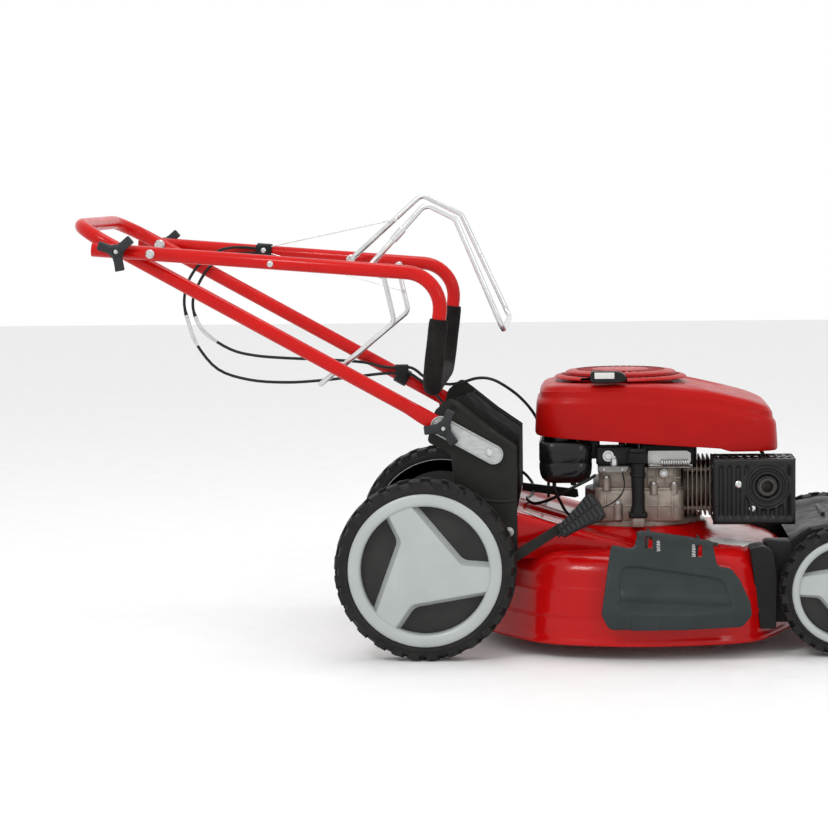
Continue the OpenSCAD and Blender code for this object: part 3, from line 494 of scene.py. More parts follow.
# ---------- cables ----------
STOP_UPPER = [(-309.6, 197.2, 621), (-336, 194, 623), (-364, 184, 620), (-390, 171, 606), (-410, 169, 586),
              (-424, 169, 560), (-429, 170, 528), (-421, 171, 492), (-408, 172, 458), (-374, 172, 418),
              (-322, 172, 400), (-260, 172, 395), (-198, 172, 398), (-131, 172, 405), (-92, 171, 409),
              (-62.3, 171, 409)]
DRIVE_UPPER = [(-309.6, 197.2, 613), (-338, 192.4, 612), (-362, 182, 606), (-384, 171, 592),
               (-402, 169, 566),
               (-414, 170, 536), (-411, 171, 508), (-394, 172, 479), (-353, 172, 452), (-312, 172, 441),
               (-256, 172, 436), (-190, 172, 433), (-126, 172, 428), (-92, 171, 420), (-62.3, 171, 419)]
DRIVE_LOWER = [(-61.7, 171, 419), (-48.5, 171, 418.9), (-38, 171, 414), (-22, 169, 402), (12, 165, 391),
               (38, 155, 394),
               (64, 143, 402), (86, 135, 402), (108, 128, 393), (138, 124, 371), (163, 120, 340),
               (178, 112, 300), (184, 104, 262), (184, 100, 230), (184, 100, 207)]
STOP_LOWER = [(-61.7, 171, 409), (-49, 171, 408.6), (-33, 172, 398), (-10, 173, 378), (18, 173, 345),
              (55, 172, 300), (100, 166, 262), (137, 150, 246), (156, 110, 232), (160, 60, 225),
              (158, 0, 223),
              (152, -50, 224), (164, -92, 221), (190, -112, 230), (224, -130, 250), (248, -129, 262),
              (261, -127, 270)]


def bends_with(obj):
    """The piece is taken off its body and its place is baked into its mesh, so it stays where it is in the
    world.
    """
    obj.parent = None
    if "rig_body" in obj:
        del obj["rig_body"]
    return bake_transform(obj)


def cable(name, node, route, b, sleeve=None):
    """A sheathed control cable; sleeve is the stretch of its length that is a zinc adjuster."""
    path = smooth_path(route, 4)
    total = len(path) - 1
    radii = []
    for i in range(len(path)):
        share = i / total
        in_sleeve = sleeve and sleeve[0] <= share <= sleeve[1]
        radii.append(3.4 if in_sleeve else 2.5)
    metal = {i for i, r in enumerate(radii) if r > 3}
    sides = 12
    form = sweep(path, radii, sides)
    obj = piece(name, b, CABLE_BLACK, form, replaces=node, smooth=50,
                more_materials=[ZINC], face_material=lambda f: int(min(f.vertices) // sides in metal))
    return bends_with(obj)


cable("stop_sheath_upper", "stop_cable_upper", STOP_UPPER, "upper_handle", (0.43, 0.53))
cable("drive_sheath_upper", "drive_cable_upper", DRIVE_UPPER, "upper_handle", (0.42, 0.53))


def lower_cable(name, node, route):
    form = sweep(smooth_path(route, 4), 2.5, 12)
    obj = piece(name, "frame", CABLE_BLACK, form, replaces=node, smooth=50)
    return bends_with(obj)


lower_cable("stop_sheath_lower", "stop_cable_lower", STOP_LOWER)
lower_cable("drive_sheath_lower", "drive_cable_lower", DRIVE_LOWER)


# ---------- wheels, in local places with the outer face at +Z ----------
def at_wheel(x, y, z):
    return lambda v: Vector((x + v.x, y - v.z, z + v.y))


def tyre_form(r, w, bead_r, flange_r, lugs):
    half = w / 2
    wall = [(bead_r, half - 3.6), (flange_r + 0.2, half - 3.4), (flange_r + 0.6, half - 0.4),
            (flange_r + 3, half),
            (r - 15, half), (r - 13.4, half - 1.1), (r - 12, half - 0.3), (r - 8, half - 2),
            (r - 5.6, half - 7), (r - 5, 4)]
    profile = [(a, -b) for a, b in wall] + [(a, b) for a, b in reversed(wall)]
    forms = [lathe(profile, 84, closed=True)]
    pitch = 2 * pi / lugs
    outline = [(-0.36, 1.0), (0.20, 1.0), (0.34, 0.62), (0.18, 0.34), (0.36, 0.06), (-0.16, 0.02),
               (-0.34, 0.36), (-0.18, 0.62)]
    for row in (1, -1):
        for k in range(lugs):
            middle_angle = (k + (0.5 if row > 0 else 0)) * pitch + 0.12 * pitch * sin(5 * k)
            top, root = [], []
            for a, b in outline:
                angle = middle_angle + a * pitch * row
                crown = r - 0.1 - 2.4 * b ** 4
                side = row * b * (half - 0.15)
                top.append((crown * cos(angle), crown * sin(angle), side))
                base = r - 13.5 if b > 0.9 else r - 7.5
                root.append((base * cos(angle), base * sin(angle), side * (1 if b < 0.9 else 0.985)))
            forms.append(loft([root, top]) if row > 0 else loft([root, top]))
    return join(*forms)


def spoke_outlines(rim, corner, phase, offset, fillet):
    """Outline of the three-armed plate, drawn back from each window by offset."""
    outline = []
    for k in range(3):
        turn = radians(120 * k + phase)
        a, b = radians(2.6) + turn, radians(101.3) + turn
        start, end = Vector((cos(a), sin(a))) * rim, Vector((cos(b), sin(b))) * rim
        bend = Vector((cos(radians(8) + turn), sin(radians(8) + turn))) * corner
        centre = Vector((cos((a + b) / 2), sin((a + b) / 2))) * rim * 0.8

        def shifted(p, q):
            n = Vector((-(q - p).y, (q - p).x)).normalized()
            if n.dot(centre - p) < 0:
                n = -n
            return p + n * offset, q + n * offset
        p1, q1 = shifted(start, bend)
        p2, q2 = shifted(bend, end)
        d1, d2 = q1 - p1, q2 - p2
        t = ((p2 - p1).x * d2.y - (p2 - p1).y * d2.x) / (d1.x * d2.y - d1.y * d2.x)
        bend = p1 + d1 * t
        path = bent([p1.to_3d(), bend.to_3d(), q2.to_3d()], [0, fillet], 6)
        outline += [(p.x, p.y) for p in path]
        next_a = radians(120 * (k + 1) + phase + 2.6)
        first = atan2(q2.y, q2.x)
        while first < b - 0.2:
            first += 2 * pi
        for i in range(1, 6):
            t = first + (next_a - first) * i / 6
            outline.append((rim * cos(t), rim * sin(t)))
    return outline


def rim_form(ring, rim, corner, phase, face, depth, hub_r, hub_back, slope, fillet):
    """Ring profile, plus the three-armed plate with its sloping flanks and a hub behind."""
    rings = []
    for z, offset in ((depth, slope), (face - 1.5, 0.8), (face - 0.4, 0.15), (face, -0.7)):
        rings.append([(x, y, z) for x,
                      y in spoke_outlines(rim, corner, phase, offset, fillet + offset * 0.6)])
    front = join(lathe(ring, 120, closed=True), loft(rings, (False, True)))
    bore = ring[0][0]
    rear_edge = lathe([(bore - 0.9, 5), (bore - 1, hub_back - 1.1), (ring[-3][0] - 1, hub_back - 1.1)], 96)
    hub = lathe([(8.3, hub_back), (hub_r - 1, hub_back), (hub_r, hub_back + 1), (hub_r, face - 4),
                 (8.3, face - 4)],
                48)
    backs = []
    for z, offset in ((depth, slope - 1.2), (face - 2.6, -1.6)):
        backs.append([(x, y, z) for x, y in spoke_outlines(rim, corner, phase, offset, fillet)])
    return front, join(hub, loft(backs, (False, True)), rear_edge)


REAR_RING = [(99, -10), (98.4, 15), (98.8, 19.5), (100.6, 22.2), (103.5, 23.6), (108, 24), (112.5, 23.7),
             (116, 22.8),
             (117.8, 21.2), (117.9, 19.9), (104, 19.5), (104, -19.5), (118, -20), (118, -22.8), (100, -22.8)]
FRONT_RING = [(70, -9), (69.6, 13), (70, 16.6), (71.6, 19.3), (74, 20.6), (77, 21), (79.6, 20.4),
              (81.4, 18.9), (81.9, 17.1), (72.2, 16.6), (72.2, -16.6), (82, -17), (82, -19.8), (71, -19.8)]


def wheels():
    rear_tyre = tyre_form(REAR_R, REAR_W, 104.3, 118.2, 28)
    front_tyre = tyre_form(FRONT_R, FRONT_W, 72.3, 82.2, 24)
    rear_rim, rear_back = rim_form(REAR_RING, 99.4, 56, 0, 20, 0, 22, -22, 9.5, 15)
    front_rim, front_back = rim_form(FRONT_RING, 70.4, 38, 60, 16, 2, 18, -19, 6.5, 10)
    front_back = join(front_back, lathe([(70.6, -9), (70.6, -11.5), (18, -13.8), (18, -9.5), (50, -9.3)],
                                        72))
    rear_place = at_wheel(0, -REAR_Y, REAR_R)
    front_place = at_wheel(WHEELBASE, -FRONT_Y, FRONT_R)
    for side, flip in (("right", lambda form: form), ("left", mirrored)):
        rear, front = "rear_wheel_" + side, "front_wheel_" + side
        piece(f"rear_tread_{side}", rear, TYRE, flip(placed(rear_tyre, rear_place)), f"rear_tyre_{side}",
              bevel=0.9, segments=1)
        piece(f"front_tread_{side}", front, TYRE, flip(placed(front_tyre, front_place)),
              f"front_tyre_{side}", bevel=0.8, segments=1)
        piece(f"rear_spokes_{side}", rear, RIM_SILVER, flip(placed(rear_rim, rear_place)),
              f"rear_rim_{side}", smooth=38)
        piece(f"front_spokes_{side}", front, RIM_SILVER, flip(placed(front_rim, front_place)),
              f"front_rim_{side}", smooth=38)
        piece(f"rear_spoke_backs_{side}", rear, RIM_BACK, flip(placed(rear_back, rear_place)))
        piece(f"front_spoke_backs_{side}", front, RIM_BACK, flip(placed(front_back, front_place)))


wheels()


# ---------- knobs ----------
def star_form(reach, arm, waist, turn):
    """Three-armed clamping knob on local Z, lofted through rings of one polar outline."""
    angles = sorted({i * 2 * pi / 72 for i in range(72)}
                    | {radians(120 * k + s * degrees(atan2(arm, reach))) % (2 * pi) for k in range(3)
                       for s in (-1, 1)})

    def radius(angle):
        off = (angle + pi / 3) % (2 * pi / 3) - pi / 3
        flare = arm * 1.0
        end = reach / cos(off)
        side = flare / max(abs(sin(off)), 1e-4)
        return max(waist, min(end, side) - 1.2 * (abs(off) < 0.5 and end > side))

    def ring(scale, inset, z):
        return [((radius(a) * scale - inset) * cos(a + turn), (radius(a) * scale - inset) * sin(a + turn), z)
                for a in angles]

    def round_ring(r, z):
        return [(r * cos(a + turn), r * sin(a + turn), z) for a in angles]
    return loft([round_ring(9, 0), round_ring(10.5, 0.8), ring(0.9, 0.6, 1.8), ring(1, 0, 3.4),
                 ring(1, 0, 9.6),
                 ring(0.985, 0.7, 11.4), ring(0.95, 1.8, 12.4), round_ring(8.6, 13.6), round_ring(7.6, 15),
                 round_ring(5.0, 15), round_ring(4.6, 12.4)])


def knob(name, body, node, place, y, turn):
    stand = lambda v: Vector((place.x + v.x, y - v.z, place.y + v.y))
    form = placed(star_form(30, 7.2, 11.5, turn), stand)
    bolt = join(hex_bolt((place.x, y - 12.4, place.y), (0, -1, 0), 3.4, 2.0, 1.1))
    for side, flip in (("right", lambda f: f), ("left", mirrored)):
        piece(f"{name}_grip_{side}", f"{body}_{side}", KNOB_GREY, flip(form), f"{node}_{side}",
              smooth=42)
        piece(f"{name}_bolt_{side}", f"{body}_{side}", ZINC, flip(bolt), bevel=0.3)


knob("fold_knob", "fold_knob", "fold_knob", FOLD_AT, -222.6, radians(40))
knob("bracket_knob", "bracket_knob", "bracket_knob", KNOB_AT, -206.6, radians(66))


# ---------- handles ----------
def lower_handle():
    """The lower loop; its ends are pressed flat where they pass under the bracket knobs."""
    def along(d, y):
        p = KNOB_AT + d * HANDLE_DIR
        return Vector((p.x, y, p.y))

    def ease(d):
        t = min(1, max(0, (70 - d) / 40))
        return t * t * (3 - 2 * t)
    corner = [along(650, -LOWER_Y), along(650, LOWER_Y)]
    flat = [-9.6, -8, -4, 2, 12, 22, 30, 38, 46, 54, 62, 70, 80]
    right = [along(d, -LOWER_Y - 11.4 * ease(d)) for d in flat]
    left = [Vector((p.x, -p.y, p.z)) for p in reversed(right)]
    path = right + bent([along(200, -LOWER_Y)] + corner + [along(200, LOWER_Y)], [0, 60, 60], 10) + left
    shares = [ease(d) for d in flat]
    shares = shares + [0] * (len(path) - 2 * len(flat)) + shares[::-1]
    tips = {0: 0.45, 1: 0.75, 2: 0.95, len(path) - 1: 0.45, len(path) - 2: 0.75, len(path) - 3: 0.95}
    in_plane = Vector((HANDLE_DIR.x, 0, HANDLE_DIR.y))
    upright = Vector((0, 1, 0)).cross(in_plane)

    def squeeze(i):
        thin, tall = 1 - 0.69 * shares[i], (1 + 0.13 * shares[i]) * tips.get(i, 1)
        if shares[i] == 0:
            return Matrix.Identity(3)
        basis = Matrix((in_plane, Vector((0, 1, 0)), upright)).transposed()
        return basis @ Matrix.Diagonal((1, thin, tall)) @ basis.transposed()
    piece("lower_loop", "lower_handle", HANDLE_RED, sweep(path, TUBE_R, 28, squeeze=squeeze), "lower_handle",
          smooth=50)


def upper_handle():
    ends = [in_side_view(UPPER_END, -UPPER_Y), in_side_view(UPPER_CORNER, -UPPER_Y),
            in_side_view(GRIP_BAR, -UPPER_Y), in_side_view(GRIP_BAR, UPPER_Y),
            in_side_view(UPPER_CORNER, UPPER_Y), in_side_view(UPPER_END, UPPER_Y)]
    piece("upper_loop", "upper_handle", HANDLE_RED,
          tube_open(bent(ends, [0, 55, 42, 42, 55], 10), TUBE_R, sides=28),
          "upper_handle", smooth=50)


def foam():
    """Foam sleeve over the bar and both legs, with a slight ripple in its radius and soft ends."""
    path = bent([in_side_view(FOAM_TOP, -UPPER_Y), in_side_view(GRIP_BAR, -UPPER_Y),
                 in_side_view(GRIP_BAR, UPPER_Y), in_side_view(FOAM_TOP, UPPER_Y)], [0, 42, 42], 12)
    fine = []
    for a, b in zip(path, path[1:]):
        steps = max(1, int((b - a).length / 6))
        fine += [a + (b - a) * i / steps for i in range(steps)]
    fine.append(path[-1])
    run = [0]
    for a, b in zip(fine, fine[1:]):
        run.append(run[-1] + (b - a).length)
    radii = []
    for s in run:
        end = min(s, run[-1] - s)
        tip = 1 if end > 3 else 0.93 + 0.07 * sqrt(max(0, 1 - (1 - end / 3) ** 2))
        radii.append((14.85 + 0.12 * sin(s * 0.13) * sin(s * 0.031)) * tip)
    obj = piece("grip_sleeve", "upper_handle", FOAM, sweep(fine, radii, 36), "foam_grip", smooth=50)


lower_handle()
upper_handle()
foam()


def channels():
    """Zinc channels: a web with a raised rim band, round at both ends."""
    tilt = lambda v: Vector((KNOB_AT.x + v.x * cos(SLOPE) + v.y * sin(SLOPE), v.z,
                             KNOB_AT.y - v.x * sin(SLOPE) + v.y * cos(SLOPE)))

    def capsule(r, y):
        right = [(87 + r * sin(a), r * cos(a)) for a in (pi * i / 14 for i in range(15))]
        left = [(-6 - r * sin(a), -r * cos(a)) for a in (pi * i / 14 for i in range(15))]
        return [(x, z, y) for x, z in right + left]
    web = loft([capsule(14.4, -196.2), capsule(15, -197), capsule(15, -205.2), capsule(14.4, -206),
                capsule(13.2, -206), capsule(12.4, -204.4), capsule(12.2, -203.2)], (False, True))
    back = loft([capsule(14.4, -196.2), capsule(12.6, -196.2), capsule(12.4, -200.6)], (False, True))
    form = placed(join(web, back), tilt)
    at_bolt = PIVOT_AT
    head = Matrix.Translation((at_bolt.x, 0, at_bolt.y)) @ Matrix.Rotation(SLOPE, 4, "Y")
    bolt = join(rod((at_bolt.x, -203.2, at_bolt.y), (at_bolt.x, -205.6, at_bolt.y), 6.4),
                moved(rounded_block((-4.4, -210, -4.4), (4.4, -205, 4.4), 1.4, 0.8), head),
                rod((at_bolt.x, -186, at_bolt.y), (at_bolt.x, -203, at_bolt.y), 4.9),
                rod((at_bolt.x, -186, at_bolt.y), (at_bolt.x, -191, at_bolt.y), 8.8))
    piece("bracket_channels", "lower_handle", CHANNEL_ZINC, join(form, mirrored(form)), "handle_channels",
          bevel=0.35)
    piece("pivot_bolts", "frame", ZINC, join(bolt, mirrored(bolt)), "handle_pivot_bolts", bevel=0.4)


channels()


def upper_fittings():
    """Fold bolts, rope guide studs, screws and bail bushes along the upper tubes."""
    head = join(rod((FOLD_AT.x, -172.6, FOLD_AT.y), (FOLD_AT.x, -176.4, FOLD_AT.y), 8.8, edge=1.6),
                rod((FOLD_AT.x, -176, FOLD_AT.y), (FOLD_AT.x, -231.5, FOLD_AT.y), 3.9))
    piece("carriage_bolts", "lower_handle", ZINC, join(head, mirrored(head)), "fold_bolts",
          smooth=40)
    guide_at = FOLD_AT + 51 * UPPER_DIR
    screw_at = FOLD_AT + 236 * UPPER_DIR + Vector((0, -2))
    bush = (STOP_RIGHT - 10.9 * STOP_AXIS, STOP_RIGHT - 24.2 * STOP_AXIS)
    far_bush = (STOP_LEFT + 10.9 * STOP_AXIS, STOP_LEFT + 24.2 * STOP_AXIS)
    drive = join(rod((DRIVE_AT.x, -206, DRIVE_AT.y), (DRIVE_AT.x, -175.2, DRIVE_AT.y), 6.5, edge=1.2))
    stud = join(rod((guide_at.x, -UPPER_Y - 9.6, guide_at.y), (guide_at.x, -UPPER_Y - 16, guide_at.y), 7,
                    edge=2.2),
                screw_head((screw_at.x, -UPPER_Y - 10.4, screw_at.y), (0, -1, 0), 5))
    form = join(rod(*bush, 7.5, edge=1.4), rod(*far_bush, 7.5, edge=1.4), drive, mirrored(drive), stud)
    piece("tube_fittings", "upper_handle", ZINC, form, "handle_fittings", smooth=40)


upper_fittings()


def cable_holders():
    clamp_at = FOLD_AT + 174 * UPPER_DIR
    p, q = FOLD_AT + 161 * UPPER_DIR, FOLD_AT + 187 * UPPER_DIR
    band = rod((p.x, UPPER_Y, p.y), (q.x, UPPER_Y, q.y), TUBE_R + 3, 28, 1.0)
    jaw = rounded_block((clamp_at.x - 13, UPPER_Y - 16, clamp_at.y - 6),
                        (clamp_at.x + 13, UPPER_Y - 7, clamp_at.y + 12), 2, 1.2)
    piece("sheath_clamp", "upper_handle", BLACK_PLASTIC, join(band, jaw), "cable_clamp",
          bevel=0.5)
    piece("sheath_clamp_screw", "upper_handle", ZINC,
          screw_head((clamp_at.x, UPPER_Y - 15.9, clamp_at.y + 2.5), (0, -1, 0), 4.6))
    c, d = KNOB_AT + 92 * HANDLE_DIR, KNOB_AT + 114 * HANDLE_DIR
    m = KNOB_AT + 103 * HANDLE_DIR
    ring = rod((c.x, LOWER_Y, c.y), (d.x, LOWER_Y, d.y), TUBE_R + 3, 28, 1.0)
    body = rounded_block((m.x - 10, 165.4, m.y - 4), (m.x + 10, 177, m.y + 20), 2, 1.4)
    hooks = join(*[rod((m.x - 11.2, 171, z), (m.x + 11.2, 171, z), 5.2, 20, 0.8) for z in (409, 419)])
    piece("sheath_clip", "lower_handle", BLACK_PLASTIC, join(ring, body, hooks), "cable_clip",
          bevel=0.5)


cable_holders()


# ---------- bails and their inner wires ----------
def bails():
    bar = Vector((120, 502))
    stop = bent([STOP_RIGHT - 18.2 * STOP_AXIS, STOP_RIGHT, (2, -181, 696), (48, -181, 673),
                 in_side_view(bar, -181), in_side_view(bar, 181), (40, 181, 675), (-26, 181, 708), STOP_LEFT,
                 STOP_LEFT + 18.2 * STOP_AXIS], [0, 12, 14, 14, 20, 20, 14, 14, 12], 7)
    drive = bent([(DRIVE_AT.x, -192.8, DRIVE_AT.y), (DRIVE_AT.x, -160, DRIVE_AT.y), (-49, -160, 514),
                  (-168, -160, 416), (-168, 160, 416), (-49, 160, 514), (DRIVE_AT.x, 160, DRIVE_AT.y),
                  (DRIVE_AT.x, 192.8, DRIVE_AT.y)], [0, 12, 14, 20, 20, 14, 12], 7)
    arm = Vector((2, -181, 696)) - STOP_RIGHT
    sleeve = rod(STOP_RIGHT + arm * 0.44, STOP_RIGHT + arm * 0.62, 6.2, 20, 1.0)
    far_arm = Vector((-26, 181, 708)) - STOP_LEFT
    hook = STOP_LEFT + far_arm * 0.62
    eye = rod(hook - STOP_AXIS * 6, hook - STOP_AXIS * 14, 3.4, 16)
    piece("stop_bail_rod", "stop_bail", BAIL_STEEL, sweep(stop, 4.5, 20), "stop_bail",
          smooth=50)
    piece("stop_bail_sleeve", "stop_bail", BAIL_STEEL, join(sleeve, eye), smooth=40)
    piece("drive_bail_rod", "drive_bail", BAIL_STEEL, sweep(drive, 4, 20), "drive_bail",
          smooth=50)
    near = Vector((DRIVE_AT.x + 9, 160, DRIVE_AT.y - 42))
    piece("drive_bail_hook", "drive_bail", ZINC,
          rod(near + Vector((0, 5, 0)), near - Vector((0, 9, 0)), 3.2), smooth=40)
    clamp_at = FOLD_AT + 187 * UPPER_DIR
    for name, start, end, bail in (
            ("stop_inner_wire", Vector((clamp_at.x - 4, UPPER_Y - 12, clamp_at.y + 9)), hook
             - STOP_AXIS * 10, "stop_bail"),
            ("drive_inner_wire", Vector((clamp_at.x - 4, UPPER_Y - 12, clamp_at.y - 1)), near
             - Vector((0, 6, 0)), "drive_bail")):
        path = [start + (end - start) * i / 16 for i in range(17)]
        obj = piece(name, "upper_handle", ZINC, sweep(path, 0.8, 8), smooth=50)
        bends_with(obj)


bails()


# ---------- deck ----------
DECK_X = (150, 530)
DECK_Y = 238
CHAMBER_R = 260


def deck_radius(angle):
    """Distance from the blade's axis to the deck's edge: the round chamber and the side box round it."""
    c, s = cos(angle), sin(angle)
    reach_x = ((DECK_X[1] if c > 0 else 2 * BLADE_X - DECK_X[0]) - BLADE_X) / max(abs(c), 1e-6)
    reach_y = DECK_Y / max(abs(s), 1e-6)
    box = (reach_x ** -5 + reach_y ** -5) ** (-1 / 5)
    return (box ** 16 + (CHAMBER_R - 0.3) ** 16) ** (1 / 16) if box < 300 else box


DISCHARGE_WINDOW = ((301, 62), (459, 137))


def deck_form():
    """Pressed shell: hem, wall with a pressed line, shoulder, sloping top and the engine's mound."""
    steps = 240
    section = [(0.6, 22.3), (0, 24), (0, 29), (2.6, 31.5), (3.2, 40), (4.2, 60),
               (4.4, 64), (2.9, 67), (2.9, 71), (4.6, 75), (5.4, 92), (6.2, 100), (6.2, 104),
               (8.6, 109.5), (10.2, 113), (11.4, 122), (14, 133), (19, 143.5), (27, 152.5),
               (38, 158.4), (52, 161.4)]
    mound = [(185, 163.6), (150, 165.6), (133, 167.2), (127, 170.4), (122, 175), (118.5, 182.5),
             (114, 185.4), (108, 185.9), (60, 185.9)]
    rings = []
    for inset, z in section:
        ring = []
        for i in range(steps):
            a = 2 * pi * i / steps
            r = deck_radius(a) - inset
            ring.append((BLADE_X + r * cos(a), r * sin(a), z))
        rings.append(ring)
    for radius, z in mound:
        rings.append([(BLADE_X + radius * cos(2 * pi * i / steps), radius * sin(2 * pi * i / steps), z)
                      for i in range(steps)])
    verts, faces = loft(rings, (False, False))
    (back, low), (front, high) = DISCHARGE_WINDOW
    keep = []
    for face in faces:
        centre = sum((Vector(verts[i]) for i in face), Vector()) / len(face)
        if not (back < centre.x < front and centre.y < -180 and low < centre.z < high):
            keep.append(face)
    return verts, keep


def tunnel_top(x):
    if x < 139:
        return 222 - 3 * (x - 61) / 78
    if x < 235:
        return 219 - 29 * (x - 139) / 96
    return 190 - 24 * (x - 235) / 95


def tunnel_form():
    """Discharge tunnel behind the chamber, with two pressed ribs along its roof."""
    def section(x, inset=0.0):
        top, half, edge = tunnel_top(x) - inset, 191.6 - inset, 12
        right = [(x, -half, 148)]
        right += [(x, -half + edge - edge * cos(t), top - edge + edge * sin(t)) for t in
                  (pi / 2 * k / 6 for k in range(7))]
        rib = [(x, -120, top), (x, -114, top - 3.5), (x, -66, top - 3.5), (x, -60, top), (x, 0, top)]
        half_ring = right + rib
        return half_ring + [(p[0], -p[1], p[2]) for p in reversed(half_ring[:-1])]
    stations = [61.4, 64, 80, 100, 120, 139, 146, 170, 200, 228, 240, 262, 290, 320]
    rings = [section(61.2, 3)] + [section(x) for x in stations]
    return loft(rings, (True, False), closed=False)


def deck():
    lip = rounded_block((545, -150, 95), (620, 150, 114.8), 8, 2.5)
    brackets = join(prism([(61, 151.5), (98, 151.5), (64, 106), (32, 106), (32, 132)], -154, -150),
                    prism([(600, 96), (600, 114), (640, 114), (702, 94), (702, 64), (670, 64), (640, 96)],
                          -144, -140))
    shell = join(deck_form(), tunnel_form())
    piece("deck_shell", "frame", DECK_RED, shell, "deck", smooth=48, solidify=2.2)
    piece("deck_lip", "frame", DECK_RED, lip, smooth=40)
    piece("axle_brackets", "frame", DECK_RED, join(brackets, mirrored(brackets)), bevel=0.8)
    bolts = [hex_bolt((BLADE_X + 97 * cos(a), 97 * sin(a), 194), (0, 0, 1), 5) for a in
             (radians(45 + 90 * k) for k in range(4))]
    bolts += [hex_bolt((76, -150 + 3 * 100 * k, 221.2), (0, 0, 1), 4.4) for k in range(2)]
    piece("deck_bolts", "frame", ZINC, join(*bolts), bevel=0.3)


deck()


def on_roof(x, y, lift):
    """A point on the deck's visible top surface, lifted a little."""
    r = hypot(x - BLADE_X, y)
    z = 186 if r < 112 else 167.4 - 0.075 * (r - 131)
    if abs(y) < 190 and x < 320:
        z = max(z, tunnel_top(x) - (3.5 if 66 < abs(y) < 114 else 0))
    return (x, y, z + lift)


def decals():
    """Plain printed panels on the deck's top, with no lettering."""
    def ribbon(start, middle_at, end, width):
        path = bent([start, middle_at, end], [0, 40], 8)
        rows = []
        for p, t in zip(path, tangents(path)):
            side = Vector((-t.y, t.x, 0)) * width
            rows.append([on_roof(*(p - side).xy, 0.9), on_roof(*(p - side / 2).xy, 0.9), on_roof(*p.xy, 0.9),
                         on_roof(*(p + side / 2).xy, 0.9), on_roof(*(p + side).xy, 0.9)])
        return loft(rows, (False, False), closed=False)
    pale = join(ribbon((150, -150, 0), (174, -172, 0), (228, -178, 0), 5),
                ribbon((438, -112, 0), (468, -122, 0), (500, -136, 0), 26))
    piece("roof_stripe", "frame", PALE_LABEL, pale, smooth=60)
    rail = prism([(142, 237), (232, 226), (234, 214), (228, 212), (142, 224)], 52, 58)
    piece("roof_rail", "frame", SHEET_BLACK, rail, bevel=0.8)


decals()


# ---------- front cover ----------
def front_cover():
    """Moulded cover over the front axle: a rounded hood with two steps and an open underside."""
    outline = [(561, 172), (591, 192), (640, 202), (699, 185), (737.5, 140), (740.6, 92), (722, 62.4)]
    under = [(568, 166), (594, 184), (640, 194), (694, 178), (732, 137), (735, 93), (722, 64)]

    def ring(points, y, pull):
        return [(x - pull * (0.3 if x > 650 else -0.2), y, z - pull * 0.55) for x, z in points]
    path = [(p.x, p.y) for p in bent([(x, z, 0) for x, z in outline], [0, 14, 40, 34, 26, 20], 5)]
    inner = [(p.x, p.y) for p in bent([(x, z, 0) for x, z in under], [0, 12, 36, 30, 22, 16], 5)]
    stations = [(-171.8, 26), (-171.6, 10), (-168, 3.5), (-160, 0.6), (-150, 0), (-104, 0), (-96, 3.6),
                (-60, 4.6),
                (60, 4.6), (96, 3.6), (104, 0), (150, 0), (160, 0.6), (168, 3.5), (171.6, 10), (171.8, 26)]
    outer = loft([ring(path, y, pull) for y, pull in stations], (False, False), closed=False)
    lining = loft([ring(inner, y * 0.985, pull) for y, pull in stations], (False, False), closed=False)
    cheek = prism([(561, 172), (594, 125), (650, 125), (650, 63), (722, 63), (738, 92), (735, 138),
                   (698, 181), (640, 197), (591, 188)], -171.4, -168.6)
    piece("front_hood", "frame", BLACK_PLASTIC, join(outer, lining, cheek, mirrored(cheek)), "front_cover",
          smooth=40)
    vents = join(*[rounded_block((618 + 15 * k, -52, 191 - 1.2 * k), (624 + 15 * k, 52, 201.0 - 2.2 * k),
                                 2.5, 1)
                   for k in range(4)])
    piece("front_vents", "frame", COVER_GREY, vents, smooth=40)


def front_apron():
    """Dark side wings of the cover, between the deck's rounded front corners and the wheels."""
    wing = loft([[(x, y, z) for x,
                  z in rounded([(512, 40), (536, 40), (538, 120), (532, 160), (516, 168), (496, 164)],
                                                [3, 4, 20, 12, 8, 3], 5)] for y in (-204, -150)])
    inner = rounded_block((520, -168, 44), (592, -120, 170), 10, 3)
    form = join(wing, inner)
    piece("front_wings", "frame", BLACK_PLASTIC, join(form, mirrored(form)), bevel=1.2)


front_cover()
front_apron()


